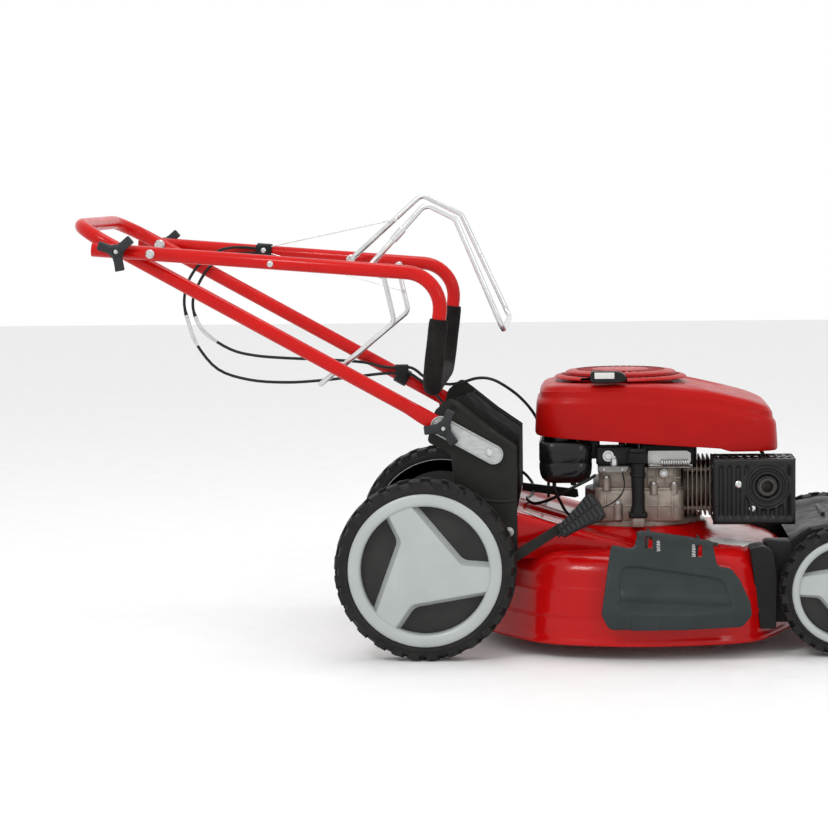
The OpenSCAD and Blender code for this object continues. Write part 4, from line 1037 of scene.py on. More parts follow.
# ---------- handle brackets, hood and flap ----------
def side_plates():
    """Sheet plates with a rolled upper edge, a boss round the knob and a pressed line above the deck."""
    outline = rounded([(62.3, 152.3), (139.7, 152.3), (139.7, 321.8), (98, 350.6), (52, 387.4), (38, 398.4),
                       (14.4, 379.6), (1.4, 330), (38, 313), (45, 240), (45, 200), (62.3, 190)],
                      [1, 1, 4, 30, 10, 9, 14, 8, 12, 6, 6, 3])
    sheet = loft([[(x, y, z) for x, z in outline] for y in (-192.6, -195.2)])
    step = bent([(36, 0, 392), (52, 0, 382.6), (98, 0, 345.6), (138, 0, 318)], [0, 10, 30], 6)
    rows = []
    for p, t in zip(step, tangents(step)):
        n = Vector((-t.z, 0, t.x))
        rows.append([p + n * 4 + Vector((0, -194.9, 0)), p + n * 1.8 + Vector((0, -196.4, 0)),
                     p - n * 1.8 + Vector((0, -196.5, 0)), p - n * 6 + Vector((0, -194.9, 0))])
    ridge = loft(rows, (False, False), closed=False)
    boss = placed(lathe([(21, 0), (19.4, 0.5), (15.8, 1.0), (15.2, 0.9), (14.8, 0.2)], 40),
                  lambda v: Vector((KNOB_AT.x + v.x, -195.0 - v.z, KNOB_AT.y + v.y)))
    hem = bent([(90, 0, 239), (116, 0, 236), (138, 0, 238)], [0, 60], 8)
    fold = loft([[p + Vector((0, -194.9, 3.4)), p + Vector((0, -196.1, 0)), p + Vector((0, -194.9, -3.4))]
                 for p in hem], (False, False), closed=False)
    barrel = rod((KNOB_AT.x, -195.6, KNOB_AT.y), (KNOB_AT.x, -190.2, KNOB_AT.y), 14.8)
    form = join(sheet, ridge, boss, fold, barrel)
    piece("bracket_plates", "frame", SHEET_BLACK, join(form, mirrored(form)), "side_plates",
          smooth=32, bevel=0.5)
    bolts = join(hex_bolt((127, -195.2, 190), (0, -1, 0), 6, 3.4),
                 screw_head((124, -195.3, 164), (0, -1, 0), 4), screw_head((76, -195.3, 164), (0, -1, 0), 4))
    piece("bracket_bolts", "frame", ZINC, join(bolts, mirrored(bolts)), bevel=0.3)


side_plates()


def hood_edge(y):
    """Where the hood's free edge lies: it runs back towards the far side, clear of the squeezed stop bail."""
    return 45 + 15 * min(1, max(0, (y + 60) / 180))


def rear_hood():
    """Folded hood between the side plates, with a rolled edge and two stiffening grooves."""
    roof = bent([(45, 0, 391.6), (54, 0, 384.4), (100, 0, 347.6), (139.6, 0, 320), (139.6, 0, 223.6)],
                [0, 20, 40, 9], 6)
    ys = [-191.6, -188, -150, -146, -138, -134, 134, 138, 146, 150, 188, 191.6]
    drops = [1.6, 0, 0, 2.2, 2.2, 0, 0, 2.2, 2.2, 0, 0, 1.6]
    rows = []
    for p, t in zip(roof, tangents(roof)):
        n = Vector((t.z, 0, -t.x))
        rows.append([Vector((max(p.x, hood_edge(y)), y, min(p.z, 391.6 - 0.8 * (hood_edge(y) - 45))))
                     + n * drop
                     for y, drop in zip(ys, drops)])
    form = loft(rows, (False, False), closed=False)
    lip = sweep([Vector((hood_edge(y) - 0.6, y, 390 - 0.8 * (hood_edge(y) - 45))) for y in ys], 2.4, 14)
    piece("hood_sheet", "frame", HOOD_BLACK, form, "rear_hood", smooth=40, solidify=3)
    piece("hood_lip", "frame", HOOD_BLACK, lip)


rear_hood()


def rear_flap():
    """Hanging rear guard with moulded ribs, a curved foot and its barrel."""
    line = bent([(52, 0, 367), (53, 0, 330), (53, 0, 250), (37.5, 0, 205), (20.2, 0, 151)], [0, 60, 60, 60],
                5)
    rows = []
    for p, t in zip(line, tangents(line)):
        n = Vector((-t.z, 0, t.x))
        ring = []
        for i in range(49):
            y = -155.6 + 311.2 * i / 48
            ring.append(p + Vector((0, y, 0)) + n * (1.4 if i % 6 in (2, 3) else 0))
        rows.append(ring)
    form = loft(rows, (False, False), closed=False)
    barrel = rod((52, -155.6, 371), (52, 155.6, 371), 5.9)
    piece("guard_flap", "rear_flap", BLACK_PLASTIC, form, "rear_flap", smooth=50,
          solidify=2.6)
    piece("guard_barrel", "rear_flap", BLACK_PLASTIC, barrel)


rear_flap()


# ---------- side discharge cover ----------
CHUTE_AT = Vector((383, -250, 186))
CHUTE_TILT = radians(8)


def cover_y(z):
    """The cover's outer face leans out towards its foot."""
    stations = [(204, -255), (186, -257.5), (170, -261), (140, -268.5), (110, -278), (76, -286.6),
                (62, -285.4), (50, -283.6)]
    for (z1, y1), (z0, y0) in zip(stations, stations[1:]):
        if z >= z0:
            return y1 + (y0 - y1) * (z1 - z) / (z1 - z0)
    return stations[-1][1]


def cover_form():
    outline = rounded([(267.8, 75), (279.6, 52), (388, 51.6), (480, 56.5), (494, 75), (492, 94), (476, 128),
                       (464, 143), (443, 146.6), (436, 184.4), (324, 201), (319, 176.5), (310.4, 173),
                       (283, 179)],
                      [14, 12, 60, 14, 8, 10, 20, 8, 8, 7, 6, 5, 5, 6], 5)
    panel = [Vector(p) for p in rounded([(292, 88), (300, 77), (388, 74), (462, 82), (466, 90), (452, 126),
                                         (437, 131), (318, 148), (301, 146), (296, 138)],
                                        [6, 8, 40, 5, 5, 9, 9, 8, 6, 10], 5)]

    def inside(points, p):
        crossings = False
        for a, b in zip(points, points[-1:] + points[:-1]):
            if (a.y > p.y) != (b.y > p.y) and p.x < (b.x - a.x) * (p.y - a.y) / (b.y - a.y) + a.x:
                crossings = not crossings
        return crossings

    def edge_distance(points, p):
        best = 1e9
        for a, b in zip(points, points[-1:] + points[:-1]):
            ab = b - a
            t = max(0, min(1, (p - a).dot(ab) / max(ab.length_squared, 1e-9)))
            best = min(best, (p - a - ab * t).length)
        return best
    border = [Vector(p) for p in outline]
    step = 2.2
    x0, z0 = 266.4, 50.6
    verts, faces, index = [], [], {}

    def slot_at(x, z):
        return any(abs(x - cx) < 4.6 and abs(z - cz) < 9 for cx, cz in ((340, 183.5), (415.6, 168.5)))

    def relief(p):
        """How far the surface stands out: an inset panel with one bulge, a rolled rim and a hinge roll."""
        d = edge_distance(border, p)
        out = -1.6 * max(0, 1 - d / 3.2)
        if inside(panel, p):
            e = edge_distance(panel, p)
            out -= 4.2 * min(1, e / 3.2)
            bulge = p.y - 100 + 0.04 * (p.x - 380)
            out += 4.0 * max(0, 1 - (bulge / 9) ** 2) * min(1, e / 8)
        along = (p.x - CHUTE_AT.x) * sin(CHUTE_TILT) + (p.y - CHUTE_AT.z) * cos(CHUTE_TILT)
        if abs(along) < 7:
            out += 2.2 * sqrt(1 - (along / 7) ** 2)
        return out
    count_x, count_z = int(229 / step) + 1, int(152 / step) + 1
    for i in range(count_x + 1):
        for j in range(count_z + 1):
            p = Vector((x0 + i * step, z0 + j * step))
            within = inside(border, p)
            near = edge_distance(border, p) if not within else 0
            if not within and near < step * 0.9:
                best, where = 1e9, p
                for a, b in zip(border, border[-1:] + border[:-1]):
                    ab = b - a
                    t = max(0, min(1, (p - a).dot(ab) / max(ab.length_squared, 1e-9)))
                    q = a + ab * t
                    if (p - q).length < best:
                        best, where = (p - q).length, q
                p, within = where, True
            if within:
                index[i, j] = len(verts)
                verts.append(Vector((p.x, max(cover_y(p.y) - relief(p) - 0.2, -286.8), p.y)))
    for i in range(count_x):
        for j in range(count_z):
            corners = [index.get(k) for k in ((i, j), (i + 1, j), (i + 1, j + 1), (i, j + 1))]
            present = [c for c in corners if c is not None]
            centre = (x0 + (i + 0.5) * step, z0 + (j + 0.5) * step)
            if slot_at(*centre):
                continue
            if len(present) >= 3:
                faces.append(present)
    return verts, faces


def chute_cover():
    piece("discharge_flap", "chute_cover", COVER_GREY, cover_form(), "chute_cover", smooth=50,
          solidify=2.6)
    tab = rounded_block((313, -286.9, 51.4), (356, -279, 69), 2, 1.5)
    lip = join(rod((315, -285.2, 68), (354, -285.2, 68), 1.6, 12))
    turn = Matrix.Translation(CHUTE_AT) @ Matrix.Rotation(CHUTE_TILT, 4, "Y")
    barrel = rod((-41, 0, 0), (26, 0, 0), 6.3)
    piece("discharge_flap_tab", "chute_cover", COVER_GREY, join(tab, lip))
    piece("discharge_flap_barrel", "chute_cover", COVER_GREY, moved(barrel, turn))
    springs = []
    for x, z, y in ((354.6, 168, -261.4), (407.7, 160, -263.4)):
        turns, r, height = 8, 2.7, 19
        coil = []
        for i in range(turns * 12 + 1):
            angle = 2 * pi * i / 12
            coil.append(Vector((x + r * cos(angle), y + 0.23 * height * i / (turns * 12)
                                + r * 0.6 * sin(angle), z + height * i / (turns * 12))))
        springs.append(sweep(coil, 0.85, 6))
    piece("hinge_springs", "chute_cover", ZINC, join(*springs), smooth=50)


chute_cover()


# ---------- cutting height lever ----------
def height_lever():
    """Flat steel arm, cranked twice, and a fan-shaped ribbed foot pad turned outwards."""
    arm_outline = rounded([(31.8, 114), (59.8, 112), (140, 146.2), (214, 195), (206, 206.6), (136.2, 162.8),
                           (49.8, 134.6), (35.8, 131.6)], [7, 7, 14, 3, 3, 14, 6, 6])
    arm = loft([[(x, y, z) for x, z in arm_outline] for y in (-211.6, -206.8)])
    lean = Matrix.Translation((240, -236, 221)) @ Matrix.Rotation(radians(-36), 4, "Y")
    face = lean @ Matrix.Rotation(radians(50), 4, "X")

    def fan(z, inset):
        pts = rounded([(-44, -11), (-10, -17), (18, -26), (30, -25.6), (33, 0), (30, 25.6), (18, 26),
                       (-10, 17), (-44, 11)], [5, 30, 9, 6, 40, 6, 9, 30, 5], 5)
        return [(x * (1 - inset / 40), y * (1 - inset / 18), z) for x, y in pts]
    pad = loft([fan(-5.8, 1.6), fan(-5, 0.4), fan(-3, 0), fan(-1.2, 0), fan(-0.2, 0.7), fan(0, 2)])
    ribs = []
    for k in range(9):
        x = -36 + 7.6 * k
        half = 10.4 + (x + 36) * 0.215
        ribs.append(rounded_block((x - 1.7, -half, -0.8), (x + 1.7, -0.9, 2.9), 1.2, 1.0, 2))
        ribs.append(rounded_block((x - 1.7, 0.9, -0.8), (x + 1.7, half, 2.9), 1.2, 1.0, 2))
    web = rounded_block((-49.6, -2.8, -6.8), (-6, 26.8, -1.4), 2, 1)
    piece("lever_arm", "rear_carrier", SHEET_BLACK, arm, "height_lever", bevel=0.9)
    piece("lever_web", "rear_carrier", SHEET_BLACK, moved(web, lean))
    piece("lever_pad", "rear_carrier", BLACK_PLASTIC, moved(pad, face), bevel=0.3)
    piece("lever_ribs", "rear_carrier", KNOB_GREY, moved(join(*ribs), face))


height_lever()


# ---------- engine shroud ----------
SHROUD_X = (165, 548)
SHROUD_HALF = 131


def shroud_roof(x):
    """Height of the shroud's top along its length."""
    line = [(165, 405.5), (180, 408.5), (210, 411.2), (300, 412.6), (380, 411), (408, 408.4), (430, 403.6),
            (470, 394.6), (505, 385.4), (530, 376.6), (541, 371), (548, 366)]
    for (x0, z0), (x1, z1) in zip(line, line[1:]):
        if x <= x1:
            t = max(0, (x - x0) / (x1 - x0))
            return z0 + (z1 - z0) * t
    return line[-1][1]


def shroud_foot(x):
    line = [(165, 329.4), (190, 328.6), (455, 310.6), (470, 305.6), (548, 305.6)]
    for (x0, z0), (x1, z1) in zip(line, line[1:]):
        if x <= x1:
            return z0 + (z1 - z0) * max(0, (x - x0) / (x1 - x0))
    return line[-1][1]


def shroud_form():
    """Moulded cowl: outline rings climb from the foot over two creases to the recoil opening."""
    steps = 200
    centre = Vector((302, 0))
    length = Vector(((SHROUD_X[0] + SHROUD_X[1]) / 2, 0))
    half_x = (SHROUD_X[1] - SHROUD_X[0]) / 2 - 0.3

    def plan(i, inset):
        a = 2 * pi * i / steps
        c, s = cos(a), sin(a)
        power = 5.2 if c < 0 else 8.5
        x = length.x + (abs(c) ** (2 / power)) * (1 if c > 0 else -1) * (half_x - inset)
        y = (abs(s) ** (2 / power)) * (1 if s > 0 else -1) * (SHROUD_HALF - 0.4 - inset)
        taper = 1 - 0.045 * max(0, (x - 380) / 168) ** 1.6
        return Vector((x, y * taper))
    rings = []
    wall = [(3.5, 0.0, 0.0), (1.2, 0.0, 0.0), (0.0, 3.0, 0.0), (1.0, 0, 0.35), (2.2, 0, 0.62),
            (3.2, 0, 0.70),
            (6.6, 0, 0.745), (7.4, 0, 0.78), (8.2, 0, 0.885), (9.9, 0, 0.905), (10.6, 0, 0.93),
            (12.6, 0, 0.962), (16, 0, 0.986), (21, 0, 0.998)]
    for inset, lift, share in wall:
        ring = []
        for i in range(steps):
            p = plan(i, inset)
            foot, roof = shroud_foot(p.x), shroud_roof(p.x) - 1.5
            ring.append((p.x, p.y, foot + lift + (roof - foot) * share))
        rings.append(ring)
    for t, rise, dip in ((0.12, 0.4, 0), (0.3, 1.0, 0), (0.42, 1.2, 0), (0.46, 1.2, 2.2), (0.62, 1.4, 2.8),
                         (0.86, 1.4, 2.8), (1.0, 1.4, 2.8)):
        ring = []
        for i in range(steps):
            p = plan(i, 21)
            direction = (p - centre).normalized()
            q = p.lerp(centre + direction * 84.6, t)
            ring.append((q.x, q.y, shroud_roof(q.x) - 1.6 + rise * 0.8 - dip * 0.6))
        rings.append(ring)
    return loft(rings, (False, False))


def engine_shroud():
    piece("cowl", "frame", SHROUD_RED, shroud_form(), "engine_shroud", smooth=38, solidify=2.8)


engine_shroud()


def recoil_cap():
    """Round starter cover: a stepped rim, an outer row of slots and an inner ring of louvres. The shallow
    floors under the slots and louvres are painted shade, coloured near-black to stand in for the dark
    openings.
    """
    centre = (302, 0)
    lift = lambda v: Vector((centre[0] + v.x, centre[1] + v.y, v.z))
    steps = 144
    rim = lathe([(81, 404), (83.4, 404), (83.6, 414.3), (105.6, 414.4), (105.8, 415.4), (103.6, 417.6),
                 (100.5, 418.8), (95, 419.6)], steps)
    crown = lathe([(88, 420.4), (87.6, 423.8), (84, 425.4), (76, 426.5), (71, 426.9)], steps)
    hub = lathe([(46, 426.9), (44, 427.5), (20, 427.9), (0.5, 427.9)], steps)
    inner = lathe([(71, 426.9), (70.4, 423), (46.6, 423), (46, 426.9)], steps)
    floor = lathe([(95, 419.6), (94.4, 416.6), (88.4, 416.6), (88, 420.4)], steps)

    def shell(form):
        return form[0], [f for f in form[1] if len(f) == 4]

    def notched(form):
        """The rim is cut away beside the grip."""
        faces = []
        for face in shell(form)[1]:
            centre = sum((Vector(form[0][i]) for i in face), Vector()) / len(face)
            if -66 < centre.x < 10 and centre.y < -82 and centre.z > 413:
                continue
            faces.append(face)
        return form[0], faces
    spokes = []
    for k in range(36):
        turn = Matrix.Rotation(2 * pi * k / 36, 4, "Z")
        spokes.append(moved(block((46.4, -1.6, 421), (70.8, 1.6, 426.6)), turn))
    for k in range(48):
        a = 2 * pi * k / 48
        if -66 < 91 * cos(a) < 12 and sin(a) < -0.7:
            continue
        spokes.append(moved(block((88, -2.1, 415), (95, 2.1, 419.8)), Matrix.Rotation(a, 4, "Z")))
    red = join(notched(rim), shell(crown), shell(hub), *spokes)
    # Painted shade: the slot and louvre floors are near-black so that they read as shadowed openings.
    dark = join(shell(inner), shell(floor))
    piece("starter_cover", "frame", SHROUD_RED, placed(red, lift), "recoil_cap", smooth=35)
    piece("starter_cover_painted_shade", "frame", PAINTED_SHADE_FLOOR, placed(dark, lift), smooth=35)


recoil_cap()


def starter_grip():
    """Tee grip: tapered nose, pale inlay on its face, and the rope's short tail."""
    def ring(x, y0, y1, z0, z1):
        return [(x, y, z) for y, z in rounded([(y0, z0), (y1, z0), (y1, z1), (y0, z1)], 2.6, 3)]
    body = loft([ring(253.4, -125, -109, 418, 428), ring(255, -128.4, -106, 415, 431),
                 ring(258, -129.6, -104.4, 413.4, 432), ring(292, -129.6, -104.4, 413.4, 432),
                 ring(301, -128.6, -105, 414.4, 430.4), ring(307, -125.6, -107.6, 416.4, 426.6),
                 ring(309, -123, -110, 418, 424.4)])
    piece("starter_handle", "starter_grip", BLACK_PLASTIC, body, "starter_grip", smooth=40)
    inlay = rounded_block((260, -131.2, 421), (291, -127, 430.6), 1.2, 0.8)
    piece("starter_handle_inlay", "starter_grip", PALE_LABEL, inlay)
    piece("starter_rope_tail", "starter_grip", CABLE_BLACK,
          rod((281, -104.6, 421), (281, -97.2, 421), 2.2, 12))


starter_grip()


# ---------- tank and oil filler ----------
def fuel_tank():
    def ring(z, inset, lean=0.0):
        corners = [(172.4 + inset, -123.6 + inset + lean), (255.6 - inset, -123.6 + inset + lean),
                   (255.6 - inset, 65.6 - inset), (172.4 + inset, 65.6 - inset)]
        return [(x, y, z) for x, y in rounded(corners, [max(4, 26 - inset)] * 4, 7)]
    body = loft([ring(254.3, 26), ring(254.9, 17), ring(257.4, 9.5), ring(262, 4.4), ring(269, 1.4),
                 ring(277, 0.3),
                 ring(284, 0), ring(286, 1.4), ring(288.6, 1.4), ring(290.6, 0), ring(316, 0),
                 ring(319.8, 3.4)])
    neck = placed(lathe([(26, 318), (26, 342), (24.6, 343.8), (20.4, 343.8), (20, 330), (0.6, 330)], 48),
                  lambda v: Vector((205 + v.x, -60 + v.y, v.z)))
    piece("petrol_tank", "frame", GLOSS_BLACK, join(body, neck), "fuel_tank", smooth=42)
    drain = join(rod((196, -100, 254.6), (196, -100, 249), 3.2),
                 rod((226, -96, 254.6), (226, -96, 250.4), 4.6))
    piece("tank_fittings", "frame", BLACK_PLASTIC, drain)
    line = smooth_path([(196, -100, 250), (197, -98, 240), (204, -90, 226), (214, -78, 206),
                        (226, -60, 194)], 5)
    piece("fuel_line", "frame", CABLE_BLACK, sweep(line, 2.4, 10), smooth=50)


fuel_tank()
OIL_AT = Vector((327, -124))


def oil_filler():
    up = lambda v: Vector((OIL_AT.x + v.x, OIL_AT.y + v.y, v.z))
    tube = lathe([(7.2, 214), (7.2, 287.8), (11, 287.8), (11, 274), (12.4, 273), (12.4, 268), (10.8, 266.6),
                  (9.8, 236), (9.8, 222), (11.8, 213), (12.2, 209)], 36)
    flange = rounded_block((312.2, -134.8, 202.2), (341.8, -105.6, 209.8), 7, 1.6)
    piece("oil_neck", "frame", BLACK_PLASTIC, join(placed(tube, up), flange), "oil_filler_tube",
          smooth=38)
    foot = join(rounded_block((316, -133, 188), (338, -104, 202.4), 6, 1.5))
    piece("oil_neck_foot", "frame", CAST_ALUMINIUM, foot)

    def ribbed(r, z):
        return [up(Vector(((r - (0.9 if i % 4 < 2 else 0)) * cos(2 * pi * i / 96),
                           (r - (0.9 if i % 4 < 2 else 0)) * sin(2 * pi * i / 96), z))) for i in range(96)]
    cap = loft([ribbed(13.4, 288.4), ribbed(14.8, 289.6), ribbed(14.8, 300), ribbed(13.6, 303.4),
                ribbed(9, 304.6)])
    wing = rounded_block((OIL_AT.x - 12.8, OIL_AT.y - 2.9, 302), (OIL_AT.x + 12.8, OIL_AT.y + 2.9, 310.8),
                         2.6, 1.6)
    piece("oil_filler_cap", "oil_cap", BLACK_PLASTIC, join(cap, wing), "oil_cap", smooth=38)


oil_filler()


# ---------- crankcase, cylinder and head ----------
def crankcase():
    """Cast case: flange, barrel, split line, bosses, web ribs and a row of bolts."""
    cx = BLADE_X
    up = lambda v: Vector((cx + v.x, v.y, v.z))
    flange = placed(lathe([(60, 186.2), (107.6, 186.2), (107.8, 192.4), (106, 194), (84, 194.6), (80, 198),
                           (78, 204), (77.6, 236), (60, 237)], 96), up)
    lower = rounded_block((cx - 62, -105, 193.6), (cx + 78, 100, 243), 16, 3)
    seam = rounded_block((cx - 64.6, -101, 241), (cx + 76, 94, 246.6), 16, 1)
    upper = rounded_block((cx - 56, -99.8, 246), (cx + 74, 90, 279.8), 14, 4)
    ribs = []
    for k in range(6):
        x = cx - 46 + 21 * k
        ribs.append(rounded_block((x - 1.6, -107.6, 199), (x + 1.6, -98, 238), 1.2, 1, 2))
    for k in range(4):
        ribs.append(rounded_block((cx + 20 + 14 * k, -102.4, 250), (cx + 22.6 + 14 * k, -96, 277), 1, 1, 2))
    ribs.append(rounded_block((cx + 14, -102.6, 261), (cx + 72, -96, 264), 1, 1, 2))
    ribs.append(rounded_block((cx - 50, -106.6, 217), (cx + 66, -98, 220), 1.2, 1, 2))
    bosses = [rod((cx - 44, -104.6, 243), (cx - 44, -104.6, 262), 6.5),
              rod((cx + 30, -103, 236), (cx + 30, -103, 252), 6.5),
              rod((cx + 62, -101, 236), (cx + 62, -101, 252), 6.5),
              rod((cx - 26, -103.4, 196), (cx - 26, -103.4, 222), 7.6),
              rod((cx + 46, -97, 270), (cx + 46, -104, 270), 8)]
    piece("engine_case", "frame", CAST_ALUMINIUM, join(flange, lower, seam, upper, *ribs, *bosses),
          "crankcase", smooth=38)
    bolts = [hex_bolt((cx - 44, -104.6, 262), (0, 0, 1), 4.6),
             hex_bolt((cx + 30, -103, 252), (0, 0, 1), 4.6),
             hex_bolt((cx + 62, -101, 252), (0, 0, 1), 4.6), hex_bolt((cx - 26, -103.4, 222), (0, 0, 1), 5),
             hex_bolt((cx + 46, -104, 270), (0, -1, 0), 5)]
    piece("engine_case_bolts", "frame", ZINC, join(*bolts), bevel=0.3)


crankcase()


def cylinder():
    cx = BLADE_X
    lie = lambda v: Vector((v.z, v.x, 238 + v.y))
    barrel = placed(lathe([(32, cx + 78), (40, cx + 78), (40, cx + 140), (32, cx + 140)], 48, closed=True),
                    lie)
    fins = []
    for k in range(8):
        x = cx + 84 + 7 * k
        fins.append(loft([[(x0, y, z) for y,
                           z in rounded([(-62, 196.2), (62, 196.2), (62, 284), (-62, 284)], 10, 4)]
                          for x0 in (x, x + 2.4)]))
    bolts = [rod((cx + 78, s * 52, z), (cx + 144, s * 52, z), 4) for s in (1, -1) for z in (208, 270)]
    piece("cylinder_fins", "frame", CAST_ALUMINIUM, join(barrel, *fins, *bolts), "cylinder_block",
          bevel=0.35, segments=1)
    head = loft([[(x0, y, z) for y,
                  z in rounded([(-60 + i, 196.4 + i), (60 - i, 196.4 + i), (60 - i, 281.6 - i),
                                                   (-60 + i, 281.6 - i)], 9, 4)]
                 for x0, i in ((cx + 140.4, 0), (cx + 164, 0), (cx + 166, 2))])
    fins = []
    for z in range(200, 278, 12):
        fins.append(rounded_block((cx + 140.6, -65.8, z), (cx + 166, 65.8, z + 2.8), 6, 0.8))
    cover = loft([[(x0, y, z) for y, z in rounded([(-45 + i, 204 + i), (45 - i, 204 + i), (45 - i, 274 - i),
                                                    (-45 + i, 274 - i)], 12, 5)]
                  for x0, i in ((cx + 165, 0), (cx + 168, 0), (cx + 169, 1.6), (cx + 188, 3),
                                (cx + 191.6, 7))])
    bolts = join(*[hex_bolt((cx + 168.6, y, z), (1, 0, 0), 4) for y in (-37, 37) for z in (212, 266)])
    piece("valve_head", "frame", CAST_ALUMINIUM, join(head, cover, *fins), "cylinder_head",
          smooth=38)
    piece("valve_head_bolts", "frame", ZINC, bolts, bevel=0.3)
    boot = placed(lathe([(7.2, cx + 193), (8.8, cx + 194), (8.9, cx + 206), (8, cx + 208), (8.9, cx + 210),
                         (8.9, cx + 219), (7, cx + 221.8), (1, cx + 222)], 28),
                  lambda v: Vector((v.z, 30 + v.x, 238 + v.y)))
    piece("plug_boot", "frame", CABLE_BLACK, boot, "spark_plug", smooth=40)
    lead = smooth_path([(cx + 214, 30, 240), (cx + 216, 34, 262), (cx + 206, 44, 292), (cx + 180, 52, 312),
                        (cx + 140, 56, 322)], 6)
    piece("plug_lead", "frame", CABLE_BLACK, sweep(lead, 3.2, 12), smooth=50)


cylinder()


def carburettor_side():
    body = join(rounded_block((345.4, 100.6, 240), (388.6, 126, 289.6), 8, 2),
                rounded_block((352, 106, 214.4), (382, 124, 241), 8, 3))
    neck = rod((367, 99, 268), (367, 130, 268), 10.6, 28)
    piece("carburettor_body", "frame", CAST_ALUMINIUM, join(body, neck), "carburettor",
          smooth=38)

    def ring(y, i):
        return [(x, y, z) for x, z in rounded([(300.4 + i, 214.4 + i), (423.6 - i, 214.4 + i),
                                               (423.6 - i, 307.6 - i),
                                               (300.4 + i, 307.6 - i)], max(3, 14 - i), 5)]
    box = loft([ring(127, 0), ring(148, 0), ring(149, 1.6), ring(151, 1.6), ring(152, 0), ring(164, 1),
                ring(167, 4), ring(168.3, 9)])
    ribs = [rounded_block((316 + 16 * k, 164, 230), (320 + 16 * k, 168.4, 292), 1.4, 1) for k in range(6)]
    piece("air_filter_cover", "frame", BLACK_PLASTIC, join(box, *ribs), "air_filter_box",
          smooth=38)


carburettor_side()


def controls():
    """Bent zinc bracket, its lever and screws, the governor spring and the pale heat shield."""
    top = rounded_block((264.2, -124, 280.6), (314, -84, 282.8), 3, 0.4)
    face = loft([[(x, y, z) for x,
                  z in rounded([(268, 274), (308, 274), (313.8, 282.8), (264.2, 282.8)], 2, 3)]
                 for y in (-125.8, -123.6)])
    cheek = block((264.2, -124, 274), (266.5, -101, 281))
    rail = rounded_block((343, -126, 280.4), (412, -104, 282.2), 2, 0.4)
    piece("throttle_bracket", "frame", BRACKET_ZINC, join(top, face, cheek, rail), "control_bracket",
          bevel=0.3)
    turns, r = 12, 4.6
    coil = [Vector((363 + 44 * i / (turns * 14), -121 + r * cos(2 * pi * i / 14), 288.6
                    + r * sin(2 * pi * i / 14)))
            for i in range(turns * 14 + 1)]
    hooks = [rod((343, -121, 284.4), (364, -121, 284.4), 1.1, 8, 0.2),
             rod((405, -121, 284.4), (412, -121, 284.4), 1.1, 8, 0.2)]
    piece("governor_spring", "frame", ZINC, join(sweep(coil, 1.15, 8), *hooks), smooth=50)
    shield = loft([[(x, y, z) for x,
                    z in rounded([(343, 285), (408, 285), (410, 289), (410, 302), (404, 305.6),
                                                     (343, 305.6)], 2, 3)] for y in (-108.5, -106.8)])
    piece("heat_shield", "frame", PALE_LABEL, shield, bevel=0.3)
    housing = join(rounded_block((262, -112, 284), (318, -70, 312), 5, 2),
                   rounded_block((330, -98, 286), (420, -30, 314), 8, 2),
                   rounded_block((236, -96, 292), (268, -50, 326), 6, 2))
    piece("linkage_housing", "frame", BLACK_PLASTIC, housing)
    link = join(rod((290, -110, 282.9), (290, -110, 294), 6.6), hex_bolt((290, -110, 294), (0, 0, 1), 4.2),
                hex_bolt((281, -112.6, 298), (0, -1, 0), 6.4, 3.4, 1.4),
                screw_head((303, -126, 278), (0, -1, 0), 2.4), screw_head((274, -126, 278), (0, -1, 0), 2.4))
    piece("linkage_screws", "frame", ZINC, link, bevel=0.25)
    wire = smooth_path([(303, -126.6, 274), (306, -128, 254), (300, -128, 238), (284, -126, 224),
                        (262, -122, 214), (250, -116, 208)], 5)
    piece("earth_wire", "frame", CABLE_BLACK, sweep(wire, 1.1, 8), smooth=50)


controls()


# ---------- muffler and its guard ----------
def muffler():
    def ring(y, i):
        return [(x, y, z) for x, z in rounded([(456.4 + i, 206.4 + i), (555.6 - i, 206.4 + i),
                                               (555.6 - i, 283.6 - i), (456.4 + i, 283.6 - i)], 12, 5)]
    can = loft([ring(-74.4, 3), ring(-77, 0), ring(-103, 0), ring(-104, -0.3), ring(-106, -0.3),
                ring(-107, 0), ring(-133, 0), ring(-135.8, 3)])
    face = lambda v: Vector((526 + v.x, -v.z, 254 + v.y))
    outlet = placed(lathe([(9.6, 128), (9.6, 153.4), (12.6, 153.4), (13, 148), (15.6, 148), (16, 142),
                           (13, 141), (13, 134)], 40), face)
    port = rounded_block((470, -76, 226), (494, -66.4, 250), 3, 1)
    piece("silencer", "frame", MUFFLER_STEEL, join(can, outlet, port), "muffler", smooth=38)


muffler()


